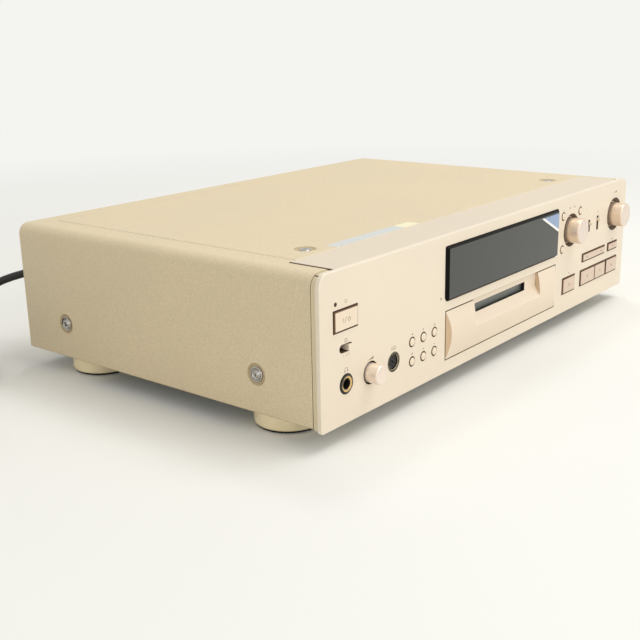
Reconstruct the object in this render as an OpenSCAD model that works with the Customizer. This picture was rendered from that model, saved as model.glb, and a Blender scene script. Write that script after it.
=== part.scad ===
// Minidisc deck: a full-width hi-fi component in champagne metal.
// Millimetres. The front faces -Y, +X is to the right seen from the front, +Z is up.
// The origin is under the middle of the deck, on the surface that the feet stand on.
// Places on the front are given as distances from the panel's edges, centre and top.

/* [Casing] */
// Width of the front panel
case_w = 430; // [426:1:450]
// Depth from the front face to the rear edge of the cover
case_d = 281; // [276:1:310]
// Height of the cover's sides
case_h = 93.5; // [92:0.5:105]
// Height of the feet, from the floor to the chassis
foot_h = 14; // [10:0.5:20]
// Diameter of a foot
foot_d = 45; // [36:1:50]
// Distance from the cover's side to a foot's axis
foot_side = 27.7; // [26:0.1:40]
// Distance from the front face to the front feet's axes
foot_front = 49.5; // [42:0.5:70]
// Distance from the front face to the rear feet's axes
foot_rear = 231; // [200:1:245]
// Thickness of the pad under each foot
pad_t = 1.5; // [1:0.1:3]
// How far the front panel hangs below the cover
panel_drop = 2.2; // [0:0.1:4]
// How much the cover is set in from the panel's side
cover_inset = 1; // [0.5:0.1:3]
// Thickness of the cover's sheet
cover_t = 1.2; // [0.8:0.1:1.6]
// Outside bend radius of the cover's long edges
cover_r = 8; // [5:0.5:10]
// Height of the raised middle of the cover's top
plateau_h = 0.5; // [0.3:0.1:1]
// Width of the flat border beside the raised middle
plateau_side = 23; // [21:0.5:40]
// Thickness of the chassis sheet
chassis_t = 1.2; // [0.8:0.1:1.6]
// Height of the chassis side flanges
flange_h = 32; // [30:1:45]

/* [Front panel] */
// Thickness of the metal front plate
panel_t = 3; // [2:0.5:4]
// Thickness of the moulded panel behind the plate
sub_t = 4; // [3:0.5:5]
// Radius of the panel's upper corners
panel_r = 8; // [5:0.5:10]
// Radius of the panel's lower corners
panel_r_low = 2; // [1:0.5:4]
// Depth of the plate's top return
strip_d = 36; // [30:1:40]
// Thickness of the plate's top return
strip_t = 2; // [1.5:0.1:2.5]
// Distance from the panel's side to the end of the top return
strip_side = 17.2; // [14:0.1:19]
// Gap between a button and its opening
button_gap = 0.65; // [0.4:0.05:0.7]
// Gap between static pieces that fit together
fit_gap = 0.3; // [0.2:0.05:0.5]
// Radial clearance of a shaft in its bore
run_gap = 0.05; // [0.03:0.01:0.08]

/* [Display window] */
// Width of the window
window_w = 164.4; // [150:0.2:166]
// Height of the window
window_h = 37; // [30:0.5:38]
// Distance from the panel's top to the window
window_top = 8; // [7:0.5:9]
// How far the window stands out of the panel
window_out = 1.9; // [1:0.1:4]
// Width of the window's bevelled edge
window_bevel = 2; // [1:0.1:3]
// Radius of the window's lower corners
window_r = 3.5; // [2:0.5:5]

/* [Slot bezel] */
// Width of the bezel
bezel_w = 162.4; // [150:0.2:164]
// Height of the bezel
bezel_h = 34; // [32:0.5:36]
// Distance from the panel's top to the bezel
bezel_top = 52.2; // [51:0.1:53]
// How far the bezel's crown stands out of the panel
bezel_out = 2.6; // [1.5:0.1:4]
// Width of the bevel at each end of the bezel
bezel_bevel = 4.4; // [2:0.1:8]
// Left end of the recess round the slot, from the panel's centre
recess_left = -45; // [-50:0.5:-43]
// Right end of the recess round the slot, from the panel's centre
recess_right = 51.5; // [40:0.5:56]
// Depth of the recess's back wall behind the front face
recess_depth = 2; // [1:0.1:2.5]
// Distance from the panel's top to the lower edge of the recess
recess_low = 70.5; // [68:0.5:74]
// Centre of the slot, from the panel's centre
slot_x = -3; // [-4:0.5:1]
// Width of the slot
slot_w = 74; // [73:0.5:76]
// Distance from the panel's top to the slot's upper edge
slot_top = 56.2; // [56:0.1:57]
// Height of the slot
slot_h = 6.6; // [6:0.1:7]

/* [Knobs and buttons] */
// Diameter of the two large knobs
knob_d = 20; // [17:0.5:21]
// How far the large knobs stand out of the panel
knob_out = 10.5; // [8:0.5:14]
// Diameter of the bevelled ring round the jog knob
jog_ring_d = 26.8; // [25:0.1:29]
// Diameter of the bevelled ring round the record level knob
rec_ring_d = 28.4; // [25:0.1:31]
// Diameter of the headphone level knob
small_knob_d = 12.4; // [12:0.1:13.4]
// How far the headphone level knob stands out
small_knob_out = 8.8; // [7:0.1:12]
// Diameter of a knob's shaft
shaft_d = 6; // [5:0.5:6]
// Diameter of the small round buttons
round_d = 5.2; // [4.5:0.1:5.6]
// How far the rectangular buttons stand out
button_out = 0.9; // [0.5:0.1:1.5]
// Travel of a button
button_travel = 0.8; // [0.5:0.1:1]
// Radius of the headphone socket's bore
phones_r = 3.2; // [3.18:0.01:3.3]
// Depth of the headphone socket's bore
phones_depth = 28; // [20:1:32]

/* [Mechanism] */
// Width of the cartridge that the deck takes
cartridge_w = 72; // [71:0.5:72]
// Length of the cartridge
cartridge_l = 68; // [66:0.5:70]
// Thickness of the cartridge
cartridge_t = 5; // [4.5:0.1:5.2]
// How far the holder lowers the cartridge
lower_travel = 4.5; // [3.5:0.1:5]
// How far the loading slider moves
load_travel = 15; // [12:0.5:18]
// Travel of the pickup sled
sled_travel = 15; // [10:0.5:16]

/* [Rear and inside] */
// How far the line sockets stand out of the cover's rear edge
socket_out = 9.5; // [8:0.5:12]
// Outer diameter of a line socket's barrel
socket_d = 8.3; // [8:0.1:8.6]
// Distance from the cover's rear edge to the rear panel
rear_inset = 2; // [1.5:0.5:4]
// Thickness of the circuit boards
board_t = 1.6; // [1.2:0.2:2]
// Height of the boards' standoffs
standoff_h = 8; // [6:0.5:10]

/* [Mains cord] */
// Diameter of the mains cord
cord_d = 6.2; // [6:0.1:6.3]
// Turns in the coil of stowed cord
coil_turns = 6.25; // [4.25:1:6.25]
// Radius of the coil's outer turn, at the cord's centre
coil_r = 50.2; // [48.2:0.1:51.2]
// Free gap between neighbouring turns
coil_gap = 0.6; // [0.5:0.1:1]

/* [Hidden] */
$fn = 64;
eps = 0.01;
z_top = foot_h + case_h;
panel_h = case_h + panel_drop;
cover_w = case_w - 2 * cover_inset;
front_y = (max(knob_out, small_knob_out) - socket_out - case_d) / 2;
rear_y = front_y + case_d;
inner_x = cover_w / 2 - cover_t;
stack_t = panel_t + sub_t;
champagne = "#EBDDBF";
champagne_dark = "#D9C79F";
knob_gold = "#E9D0B4";
dark_plastic = "#26241F";
board_green = "#2F5B3B";
bare_steel = "#C4C6C8";

// Front controls: distances from the panel's side or centre, and from its top
left_col = -case_w / 2 + 24;
socket_pitch = 24.4;
power_size = [23.5, 13.6];
power_v = 30.4;
led_x = left_col - 9.3;
led_v = 19.8;
led_d = 2;
timer_size = [12, 4.8];
timer_v = 48;
timer_travel = 5.4;
lever_size = [2.2, 2];
lever_out = 2.8;
lever_end = 1.8;
socket_v = 70.5;
phone_hole_d = small_knob_d + 2;
phones_ring_r = 6.1;
keyboard_r = 6.2;
keyboard_x = left_col + 2 * socket_pitch;
grid_space = -bezel_w / 2 - keyboard_x - keyboard_r;
grid_x = keyboard_x + keyboard_r + 0.5055 * grid_space;
grid_v = 69.4;
grid_pitch = 0.2409 * grid_space;
round_hole_d = round_d + 2 * button_gap;
right_x = case_w / 2 - 13;
jog_x = window_w / 2 + 25;
knob_v = 28.6;
around_x = 15.2;
around_v = 13.3;
rec_knob_x = case_w / 2 - 23.5;
input_x = jog_x + 0.401 * (rec_knob_x - jog_x);
mode_x = jog_x + 0.5967 * (rec_knob_x - jog_x);
switch_v = 30.8;
switch_w = 3;
switch_hs = [9.5, 11.5];

// The keys share the room between the bezel and the panel's right side
key_v = 73.3;
key_h = 13.4;
key_space = right_x - bezel_w / 2;
bar_w = 0.6126 * key_space;
stop_w = 0.3297 * bar_w;
play_w = 0.373 * bar_w;
thin_v = 56.4;
thin_h = 7.2;
rec_w = 0.1639 * key_space;
search_w = 0.3725 * key_space;
search_x = right_x - rec_w - 0.0571 * key_space - search_w / 2;
rec_x = right_x - 1.1 - rec_w / 2;
stop_x = right_x - stop_w / 2;
play_x = right_x - bar_w + play_w / 2;
pause_w = bar_w - stop_w - play_w;
pause_x = right_x - stop_w - pause_w / 2;
eject_w = 0.1904 * key_space;
eject_x = right_x - bar_w - 0.0828 * key_space - eject_w / 2;
rib_w = 0.9;

// Rocker's pivot: a pin above and below, in ears behind the panel
rocker_back = 0.8;
rocker_half = thin_h / 2 - button_gap + 1.5;
rocker_ear = 2;
ear_gap = 0.4;

// Depths behind the front face
board_y = stack_t + 7;
switch_y = board_y - 3;
stem_y = switch_y - button_travel - 0.4;
flange_y = stack_t + fit_gap;
flange_t = 1.2;
rocker_axis_y = flange_y + rocker_back + flange_t / 2;

// Mechanism, from the centre of the slot
slot_v = slot_top + slot_h / 2;
slot_z = z_top - slot_v;
mech_y = 16;
mech_half = cartridge_w / 2 + 8;
mech_len = cartridge_l + 28;
mech_wall = 1.2;
plate_z = slot_z - 12.5;
holder_t = 0.8;
holder_half = cartridge_w / 2 + 0.6;
holder_y0 = mech_y + 1;
disc_y = holder_y0 + cartridge_l / 2;
guide_r = 1.2;
guide_slot = guide_r + fit_gap;
guide_ys = [holder_y0 + 12, holder_y0 + 44];
rod_x = 18;
rod_d = 3;
rod_z = plate_z - 4;
screw_x = 26;
screw_d = 3;
lug_w = 3;
lug_ys = [disc_y + 9.6, mech_y + mech_len - 7.5];
sled_y = disc_y + 14;
sled_l = 22;
sled_half = 15;
arm_y = mech_y + mech_len - 8;
arm_z = slot_z + 11;
bezel_back = panel_t + 1.5;
door_gap = 0.4;
door_t = 1;
door_axis_y = bezel_back + door_gap + door_t / 2;
door_over = 1.9;
door_axis_v = slot_top - door_over;
pin_small_r = 0.8;

// Cord: route from the strain relief to the coil, chosen by hand from its exit
cord_x = -case_w / 2 + 33;
cord_exit_z = 60;
relief_end_y = rear_y + 24;
cord_r = cord_d / 2;
coil_c = [cord_x - 110, rear_y + 21];
coil_z = cord_r + 0.1;
coil_pitch = cord_d + coil_gap;
coil_rings = 24;
tail_l = 83;
plug_y = coil_c[1] - tail_l;
plug_z = 6.6;
plug_l = 36;

// A point of the cord, dx beside its exit and dy behind the cover's rear edge
function behind(dx, dy, z) = [cord_x - dx, rear_y + dy, z];

lead_route = [
    [cord_x, relief_end_y, cord_exit_z], behind(0, 31, cord_exit_z), behind(2, 38, 59.1),
    behind(5.2, 43, 57.6), behind(10, 49.2, 55.4), behind(17, 55, 52.4), behind(27, 61, 47),
    behind(39, 65.8, 39.4), behind(52, 69.2, 29.8), behind(64, 71, 20.4), behind(75, 71.2, 12.2),
    behind(85, 71.2, 6.2), [coil_c[0] + 15, coil_c[1] + coil_r, coil_z],
    [coil_c[0] + cord_d, coil_c[1] + coil_r, coil_z]
];

// A point of the tail, dy in front of the coil's centre
function ahead(dy, z) = [coil_c[0] - coil_r, coil_c[1] - dy, z];

tail_route = [
    ahead(cord_d, coil_z + coil_pitch), ahead(14, coil_z + coil_pitch), ahead(26, 7.2), ahead(38, 4),
    ahead(50, coil_z), ahead(62, 4.4), ahead(74, plug_z), ahead(tail_l, plug_z)
];

// ---- helpers -------------------------------------------------------------

// Extrudes a drawing in (x, z) from depth d0 to depth d1 behind the front face
module deep(d0, d1) {
    translate([0, front_y + d1, 0]) rotate([90, 0, 0]) linear_extrude(d1 - d0) children();
}

// Extrudes a drawing in (y, z) along x from x0 to x1
module across(x0, x1) {
    translate([x0, 0, 0]) rotate([90, 0, 90]) linear_extrude(x1 - x0) children();
}

// A block from corner a to corner b
module block(a, b) {
    translate(a) cube(b - a);
}

// A cylinder along the depth, from depth d0 to depth d1, at x and distance v below the top
module rod_in(x, v, d0, d1, r) {
    translate([x, front_y + d1, z_top - v]) rotate([90, 0, 0]) cylinder(r = r, h = d1 - d0);
}

// A cone along the depth, of radius r0 at depth d0 and r1 at depth d1
module cone_in(x, v, d0, d1, r0, r1) {
    translate([x, front_y + d1, z_top - v]) rotate([90, 0, 0]) cylinder(r1 = r1, r2 = r0, h = d1 - d0);
}

// A rectangle centred at x and distance v below the top, grown by g
module rect_at(x, v, w, h, g = 0) {
    translate([x, z_top - v]) square([w + 2 * g, h + 2 * g], center = true);
}

// A rectangle with its own radius for the upper and the lower corners
module panel_shape(x0, x1, z0, z1, r_up, r_low) {
    difference() {
        translate([x0, z0]) square([x1 - x0, z1 - z0]);
        for (c = [[x0, z0, 1, 1, r_low], [x1, z0, -1, 1, r_low],
            [x0, z1, 1, -1, r_up], [x1, z1, -1, -1, r_up]])
            difference() {
                translate([c[0] - c[2] * c[4], c[1] - c[3] * c[4]])
                    translate([c[2] < 0 ? -2 * c[4] : 0, c[3] < 0 ? -2 * c[4] : 0]) square(2 * c[4]);
                translate([c[0] + c[2] * c[4], c[1] + c[3] * c[4]]) circle(c[4]);
            }
    }
}

// A slot with round ends, w wide and h high, or the other way up when h is larger
module slot_at(x, v, w, h, g = 0) {
    r = min(w, h) / 2 + g;
    run = abs(w - h);
    translate([x, z_top - v]) {
        square(w > h ? [run, 2 * r] : [2 * r, run], center = true);
        for (s = [-1, 1])
            translate(w > h ? [s * run / 2, 0] : [0, s * run / 2]) circle(r);
    }
}

// Each round button's place: x and distance below the top
function function_place(k) = [grid_x + (k % 3 - 1) * grid_pitch, grid_v + (k < 3 ? -1 : 1) * grid_pitch / 2];
small_places = [[jog_x - around_x, knob_v - around_v], [jog_x + around_x, knob_v - around_v],
    [jog_x - around_x, knob_v + around_v]];

// Openings for everything in the front that is not a bezel or a window, grown by g
module control_openings(g = 0) {
    rect_at(left_col, power_v, power_size[0], power_size[1], g);
    slot_at(left_col, timer_v, timer_size[0], timer_size[1], g);
    translate([left_col, z_top - socket_v]) circle(phones_ring_r + fit_gap / 2 + g);
    translate([keyboard_x, z_top - socket_v]) circle(keyboard_r + fit_gap / 2 + g);
    for (k = [0:5])
        translate([function_place(k)[0], z_top - function_place(k)[1]]) circle(round_hole_d / 2 + g);
    for (p = small_places)
        translate([p[0], z_top - p[1]]) circle(round_hole_d / 2 + g);
    rect_at(input_x, switch_v, switch_w, switch_hs[0], g);
    rect_at(mode_x, switch_v, switch_w, switch_hs[1], g);
    rect_at(search_x, thin_v, search_w, thin_h, g);
    rect_at(rec_x, thin_v, rec_w, thin_h, g);
    rect_at((play_x - play_w / 2 + pause_x + pause_w / 2) / 2, key_v, play_w + pause_w, key_h, g);
    rect_at(stop_x + rib_w / 2, key_v, stop_w - rib_w, key_h, g);
    rect_at(eject_x, key_v, eject_w, key_h, g);
}

// ---- casing --------------------------------------------------------------

screw_ys = [51, 235];
side_screw_z = 38.9;
top_screw_x = case_w / 2 - 50;
top_screw_y = 51;
dish_r = 8;
dish_depth = 1;
side_head_r = 5;
top_head_r = 4;
thread_r = 1.5;
rear_flange_h = 8;
rear_head_r = 2.8;
rear_screw_xs = [for (s = [-1, 0, 1]) s * (case_w / 2 - 65)];

// Outline of the cover's bent sheet, seen from the front, inset by g
module cover_outline(g) {
    panel_shape(-cover_w / 2 + g, cover_w / 2 - g, foot_h - (g > 0 ? 1 : 0), z_top - plateau_h - g,
        cover_r - g, eps);
}

// A screw dish pressed into the sheet: what it adds inside, or what it cuts outside
module dish(add, head_r) {
    if (add) cylinder(r = dish_r, h = cover_t + dish_depth);
    else {
        translate([0, 0, -eps]) cylinder(r1 = dish_r - 0.7, r2 = head_r + 0.5, h = dish_depth + eps);
        translate([0, 0, -eps]) cylinder(r = thread_r + fit_gap, h = cover_t + dish_depth + 1);
    }
}

// Puts the dishes in place, each with its own +Z pointing into the case
module dishes(add) {
    for (s = [-1, 1]) {
        for (y = screw_ys)
            translate([s * cover_w / 2, front_y + y, side_screw_z]) rotate([0, -s * 90, 0])
                dish(add, side_head_r);
        translate([s * top_screw_x, front_y + top_screw_y, z_top]) rotate([180, 0, 0])
            dish(add, top_head_r);
    }
}

module top_cover() {
    color(champagne_dark) difference() {
        union() {
            difference() {
                deep(stack_t + fit_gap, case_d) cover_outline(0);
                deep(stack_t, case_d - cover_t) cover_outline(cover_t);
                deep(case_d - cover_t - 1, case_d + 1)
                    rect_at(0, rear_flange_h + 100, cover_w - 2 * cover_t, 200);
            }
            block([-cover_w / 2 + plateau_side, front_y + strip_d + fit_gap, z_top - plateau_h - cover_t],
                [cover_w / 2 - plateau_side, rear_y - plateau_side + 6, z_top]);
            dishes(true);
        }
        block([-case_w / 2 + strip_side - fit_gap, front_y, z_top - cover_r - cover_t],
            [case_w / 2 - strip_side + fit_gap, front_y + strip_d + fit_gap, z_top + 1]);
        dishes(false);
        for (x = rear_screw_xs)
            rod_in(x, rear_flange_h / 2 + 1, case_d - 5, case_d + 1, thread_r + fit_gap);
    }
}

// The moulded panel's one large opening, round the backs of the window and the bezel
module middle_opening() {
    w = max(window_w + 2 * window_lip, bezel_w + 2 * bezel_lip) / 2 + fit_gap;
    translate([-w, z_top - bezel_top - bezel_h - bezel_lip - fit_gap])
        square([2 * w, bezel_top + bezel_h + bezel_lip - window_top + window_lip + 2 * fit_gap]);
}

module front_panel() {
    z0 = foot_h - panel_drop;
    color(champagne) difference() {
        deep(0, panel_t) panel_shape(-case_w / 2, case_w / 2, z0, z_top, panel_r, panel_r_low);
        deep(-1, panel_t + 1) control_openings();
        deep(-1, panel_t + 1) window_shape(fit_gap);
        deep(-1, panel_t + 1) rect_at(0, bezel_top + bezel_h / 2, bezel_w, bezel_h, fit_gap);
        rod_in(left_col + socket_pitch, socket_v, -1, panel_t + 1, phone_hole_d / 2);
        rod_in(led_x, led_v, -1, panel_t + 1, led_d / 2 + 0.1);
        for (k = [[jog_x, jog_ring_d], [rec_knob_x, rec_ring_d]]) {
            cone_in(k[0], knob_v, -eps, panel_t - 0.4, k[1] / 2, knob_d / 2 + 0.9);
            rod_in(k[0], knob_v, -eps, panel_t + 1, knob_d / 2 + 0.9);
        }
    }
}

module top_return() {
    color(champagne)
        block([-case_w / 2 + strip_side, front_y + panel_t, z_top - strip_t],
            [case_w / 2 - strip_side, front_y + strip_d, z_top]);
}

module front_sub_panel() {
    z0 = foot_h - panel_drop + 0.8;
    color(champagne_dark) difference() {
        union() {
            deep(panel_t, stack_t)
                panel_shape(-cover_w / 2, cover_w / 2, z0, z_top - 0.8, panel_r, panel_r_low);
            for (s = [-1, 1])
                deep(stack_t - eps, rocker_axis_y + 1.6)
                    rect_at(search_x, thin_v + s * (rocker_half + ear_gap + rocker_ear / 2), 4, rocker_ear);
        }
        translate([search_x, front_y + rocker_axis_y, z_top - thin_v - 20])
            cylinder(r = pin_small_r + run_gap, h = 40);
        block([-case_w / 2 + strip_side - fit_gap, front_y, z_top - strip_t - fit_gap],
            [case_w / 2 - strip_side + fit_gap, front_y + 20, z_top + 1]);
        deep(0, stack_t + 1) control_openings(0.1);
        deep(0, stack_t + 1) middle_opening();
        rod_in(led_x, led_v, 0, stack_t + 1, led_d / 2 + 0.2);
        for (x = [left_col + socket_pitch, jog_x, rec_knob_x])
            rod_in(x, x == left_col + socket_pitch ? socket_v : knob_v, 0, stack_t + 1, shaft_d / 2 + 0.6);
    }
}

vent_rows = 6;
vent_w = 26;
vent_h = 2.4;

module chassis_base() {
    z0 = foot_h + 0.2;
    x1 = inner_x - fit_gap;
    y0 = stack_t + 1;
    y1 = case_d - rear_inset - 1.5;
    color(bare_steel) difference() {
        union() {
            block([-x1, front_y + y0, z0], [x1, front_y + y1, z0 + chassis_t]);
            for (s = [-1, 1])
                block([s > 0 ? x1 - chassis_t : -x1, front_y + y0, z0],
                    [s > 0 ? x1 : -x1 + chassis_t, front_y + y1, z0 + flange_h]);
            block([-x1, front_y + y0, z0], [x1, front_y + y0 + chassis_t, z0 + 12]);
            for (p = standoffs)
                translate([p[0], front_y + p[1], z0]) cylinder(r = 3, h = chassis_t + standoff_h);
            for (p = mech_posts)
                translate([p[0], front_y + p[1], z0]) cylinder(r = 3.5, h = plate_z - 6 - z0);
        }
        for (s = [-1, 1])
            for (y = screw_ys)
                translate([s * x1, front_y + y, side_screw_z]) rotate([0, 90, 0])
                    cylinder(r = dish_r + 0.6, h = 4 * chassis_t, center = true);
        for (s = [-1, 1])
            for (y = [foot_front, foot_rear])
                translate([s * foot_x, front_y + y, z0 - 1]) cylinder(r = thread_r + fit_gap, h = 5);
        for (k = [0:vent_rows - 1])
            block([-vent_w / 2 + 120, front_y + 150 + 8 * k, z0 - 1],
                [vent_w / 2 + 120, front_y + 150 + 8 * k + vent_h, z0 + 3]);
    }
}

socket_xs = [for (k = [0, 14, 40, 54]) case_w / 2 - 155 + k];
socket_z = 66;
optical_xs = [for (k = [0:2]) case_w / 2 - 65 + 18 * k];

module rear_panel() {
    x1 = inner_x - fit_gap;
    d0 = case_d - rear_inset - chassis_t;
    color(champagne_dark) difference() {
        deep(d0, d0 + chassis_t)
            panel_shape(-x1, x1, foot_h + 0.2, z_top - cover_t - plateau_h - fit_gap, cover_r - cover_t, eps);
        rod_in(cord_x, z_top - cord_exit_z, d0 - 1, case_d, relief_r);
        for (x = socket_xs)
            rod_in(x, z_top - socket_z, d0 - 1, case_d, socket_d / 2 + 1.2);
        for (x = optical_xs)
            deep(d0 - 1, case_d) rect_at(x, z_top - socket_z, 10, 10);
        for (x = rear_screw_xs)
            rod_in(x, rear_flange_h / 2 + 1, d0 - 1, case_d, thread_r + fit_gap);
    }
}

foot_x = cover_w / 2 - foot_side;

// Puts a drawing under each corner of the deck
module at_feet() {
    for (s = [-1, 1])
        for (y = [foot_front, foot_rear])
            translate([s * foot_x, front_y + y, 0]) children();
}

module feet() {
    r = foot_d / 2;
    color(champagne_dark) at_feet() rotate_extrude() polygon([
        [6, 5], [r - 9, 5], [r - 6.6, pad_t], [r - 1.4, pad_t], [r - 0.4, pad_t + 1],
        [r, pad_t + 3], [r, foot_h - 2.5], [r - 0.8, foot_h - 0.6], [r - 2, foot_h + 0.2],
        [thread_r + fit_gap, foot_h + 0.2], [thread_r + fit_gap, 7], [6, 7]]);
}

module foot_pads() {
    r = foot_d / 2;
    color(dark_plastic) at_feet() rotate_extrude()
        translate([r - 6.4, 0]) square([4.8, pad_t]);
}

// A cross-head screw along +Z: head below, thread up into the piece
module screw(r_head, h_head, l) {
    difference() {
        union() {
            cylinder(r = r_head, h = h_head);
            cylinder(r = thread_r, h = h_head + l);
        }
        for (a = [0, 90])
            rotate(a) translate([-r_head * 0.55, -0.4, -eps]) cube([r_head * 1.1, 0.8, h_head * 0.6]);
    }
}

module case_screws() {
    z0 = foot_h + 0.2;
    color("#D8D8D6") {
        for (s = [-1, 1]) {
            for (y = screw_ys)
                translate([s * (cover_w / 2 + 0.8), front_y + y, side_screw_z]) rotate([0, -s * 90, 0])
                    screw(side_head_r, dish_depth + 0.8, 6);
            translate([s * top_screw_x, front_y + top_screw_y, z_top]) rotate([180, 0, 0])
                screw(top_head_r, dish_depth, 6);
        }
        for (x = rear_screw_xs)
            translate([x, rear_y + 1.6, z_top - rear_flange_h / 2 - 1]) rotate([90, 0, 0])
                screw(rear_head_r, 1.6, 7);
        at_feet() translate([0, 0, 5]) screw(3.6, 2, z0 + chassis_t + 3 - 7);
    }
}

// ---- display -------------------------------------------------------------

window_lip = 2;
window_v = window_top + window_h / 2;

// The window's outline, grown by g
module window_shape(g) {
    panel_shape(-window_w / 2 - g, window_w / 2 + g, z_top - window_top - window_h - g,
        z_top - window_top + g, 1 + g, window_r + g);
}

module display_window() {
    w = window_w / 2;
    y0 = front_y - window_out;
    color("#1B1B1A") {
        intersection() {
            deep(-window_out, panel_t + 0.2) window_shape(0);
            translate([0, 0, z_top - window_top - window_h - 1]) linear_extrude(window_h + 2)
                polygon([[-w - 1, front_y + 6], [-w - 1, front_y], [-w, front_y], [-w + window_bevel, y0],
                    [w - window_bevel, y0], [w, front_y], [w + 1, front_y], [w + 1, front_y + 6]]);
            across(-w - 1, w + 1) polygon([[front_y + 6, z_top], [front_y, z_top],
                [front_y, z_top - window_top], [y0, z_top - window_top - window_bevel * 0.6],
                [y0, z_top - window_top - window_h + window_bevel * 0.6],
                [front_y, z_top - window_top - window_h], [front_y, z_top - window_top - window_h - 2],
                [front_y + 6, z_top - window_top - window_h - 2]]);
        }
        deep(panel_t + 0.2, panel_t + 2) rect_at(0, window_v, window_w, window_h, window_lip);
    }
}

module display_tube() {
    color("#4A5A55") {
        deep(panel_t + 4, board_y - 0.6) rect_at(0, window_v, window_w - 30, 24);
        rod_in(-window_w / 2 + 12, window_v, panel_t + 6, board_y - 1.5, 2);
    }
}

// A push switch on a board behind a button
module push_switch(x, v) {
    deep(switch_y, board_y) rect_at(x, v, 6, 6);
}

module control_boards() {
    z0 = foot_h + 8;
    b0 = board_y;
    b1 = board_y + board_t;
    left_x0 = -cover_w / 2 + 7;
    left_x1 = grid_x + grid_pitch + 6;
    right_x0 = jog_x - around_x - 6;
    right_x1 = cover_w / 2 - 7;
    color(board_green) {
        difference() {
            deep(b0, b1) translate([left_x0, z0]) square([left_x1 - left_x0, z_top - 9 - z0]);
            deep(b0 - 1, b1 + 1) rect_at(left_col, socket_v, 17, 17);
            deep(b0 - 1, b1 + 1) rect_at(keyboard_x, socket_v, 15, 15);
            rod_in(left_col + socket_pitch, socket_v, b0 - 1, b1 + 1, shaft_d / 2 + 1.7);
        }
        difference() {
            deep(b0, b1) translate([right_x0, z0]) square([right_x1 - right_x0, z_top - 9 - z0]);
            for (x = [jog_x, rec_knob_x])
                rod_in(x, knob_v, b0 - 1, b1 + 1, shaft_d / 2 + 1.7);
        }
        deep(b0, b1) translate([left_x1 + 2, z_top - 49.5])
            square([right_x0 - left_x1 - 4, 43]);
        push_switch(left_col, power_v);
        for (k = [0:5])
            push_switch(function_place(k)[0], function_place(k)[1]);
        for (p = small_places)
            push_switch(p[0], p[1]);
        for (x = [search_x - search_w / 3, search_x + search_w / 3, rec_x])
            push_switch(x, thin_v);
        for (x = [play_x, pause_x, stop_x, eject_x])
            push_switch(x, key_v);
        rod_in(led_x, led_v, 0.2, b0, led_d / 2);
    }
}

// ---- slot bezel and door -------------------------------------------------

bezel_lip = 2;
bezel_v = bezel_top + bezel_h / 2;
crown_r = (bezel_h * bezel_h / 4 + bezel_out * bezel_out) / (2 * bezel_out);
ear_w = 2.4;
ear_h = 4;
ear_x = slot_w / 2 + 0.6;

module slot_bezel() {
    w = bezel_w / 2;
    y0 = front_y - bezel_out;
    color(knob_gold) difference() {
        union() {
            intersection() {
                deep(-bezel_out - 1, panel_t + 0.2) rect_at(0, bezel_v, bezel_w, bezel_h);
                translate([0, 0, z_top - bezel_top - bezel_h - 1]) linear_extrude(bezel_h + 2)
                    polygon([[-w, front_y + 6], [-w, front_y], [-w + bezel_bevel, y0],
                        [w - bezel_bevel, y0], [w, front_y], [w, front_y + 6]]);
                translate([-w - 1, front_y - bezel_out + crown_r, z_top - bezel_v])
                    rotate([0, 90, 0]) cylinder(r = crown_r, h = bezel_w + 2, $fn = 360);
            }
            deep(panel_t + 0.2, bezel_back) rect_at(0, bezel_v, bezel_w, bezel_h, bezel_lip);
            for (s = [-1, 1])
                deep(bezel_back - eps, door_axis_y + ear_h / 2)
                    rect_at(slot_x + s * (ear_x + ear_w / 2), door_axis_v, ear_w, ear_h);
        }
        across(recess_left, recess_right) polygon([
            [front_y - bezel_out - 1, z_top - bezel_top + 1],
            [front_y + recess_depth, z_top - bezel_top + 1],
            [front_y + recess_depth, z_top - slot_top - slot_h - 0.4],
            [front_y + recess_depth - 1, z_top - slot_top - slot_h - 2.4],
            [front_y - bezel_out, z_top - recess_low],
            [front_y - bezel_out - 1, z_top - recess_low]]);
        deep(0, bezel_back + 1) rect_at(slot_x, slot_v, slot_w, slot_h);
        translate([slot_x - ear_x - ear_w - 1, front_y + door_axis_y, z_top - door_axis_v])
            rotate([0, 90, 0]) cylinder(r = pin_small_r + run_gap, h = 2 * (ear_x + ear_w + 1));
    }
}

module slot_door() {
    half = slot_w / 2 - door_gap;
    color("#8E8F8A") {
        deep(bezel_back + door_gap, bezel_back + door_gap + door_t)
            translate([slot_x - half, z_top - slot_top - slot_h - 0.2])
            square([2 * half, slot_h + door_over + 0.2]);
        translate([slot_x - ear_x - ear_w, front_y + door_axis_y, z_top - door_axis_v])
            rotate([0, 90, 0]) cylinder(r = pin_small_r, h = 2 * (ear_x + ear_w));
    }
}

// ---- buttons -------------------------------------------------------------

// A rectangular button with a retaining flange above and below, and a stem to its switch
module key_cap(x, v, w, h, stems = [0], back = 0) {
    deep(-button_out + 0.3, flange_y + flange_t + back) rect_at(x, v, w, h);
    deep(-button_out, -button_out + 0.3) rect_at(x, v, w, h, -0.3);
    deep(flange_y + back, flange_y + flange_t + back) rect_at(x, v, w, h + 3);
    for (s = stems)
        rod_in(x + s, v, flange_y + flange_t + back - eps, stem_y, 1.6);
}

// A round button with a domed face, a retaining flange and a stem
module round_cap(x, v) {
    translate([x, front_y, z_top - v]) rotate([90, 0, 0]) rotate_extrude() polygon([
        [0, -stem_y], [1.6, -stem_y], [1.6, -flange_y - flange_t], [round_d / 2 + 1, -flange_y - flange_t],
        [round_d / 2 + 1, -flange_y], [round_d / 2, -flange_y], [round_d / 2, 0.1],
        [round_d / 2 - 0.3, 0.5], [round_d / 2 - 1, 0.8], [0, 1]]);
}

module power_button() {
    color(knob_gold)
        key_cap(left_col, power_v, power_size[0] - 2 * button_gap, power_size[1] - 2 * button_gap);
}

module function_button(k) {
    color(knob_gold) round_cap(function_place(k)[0], function_place(k)[1]);
}

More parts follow.
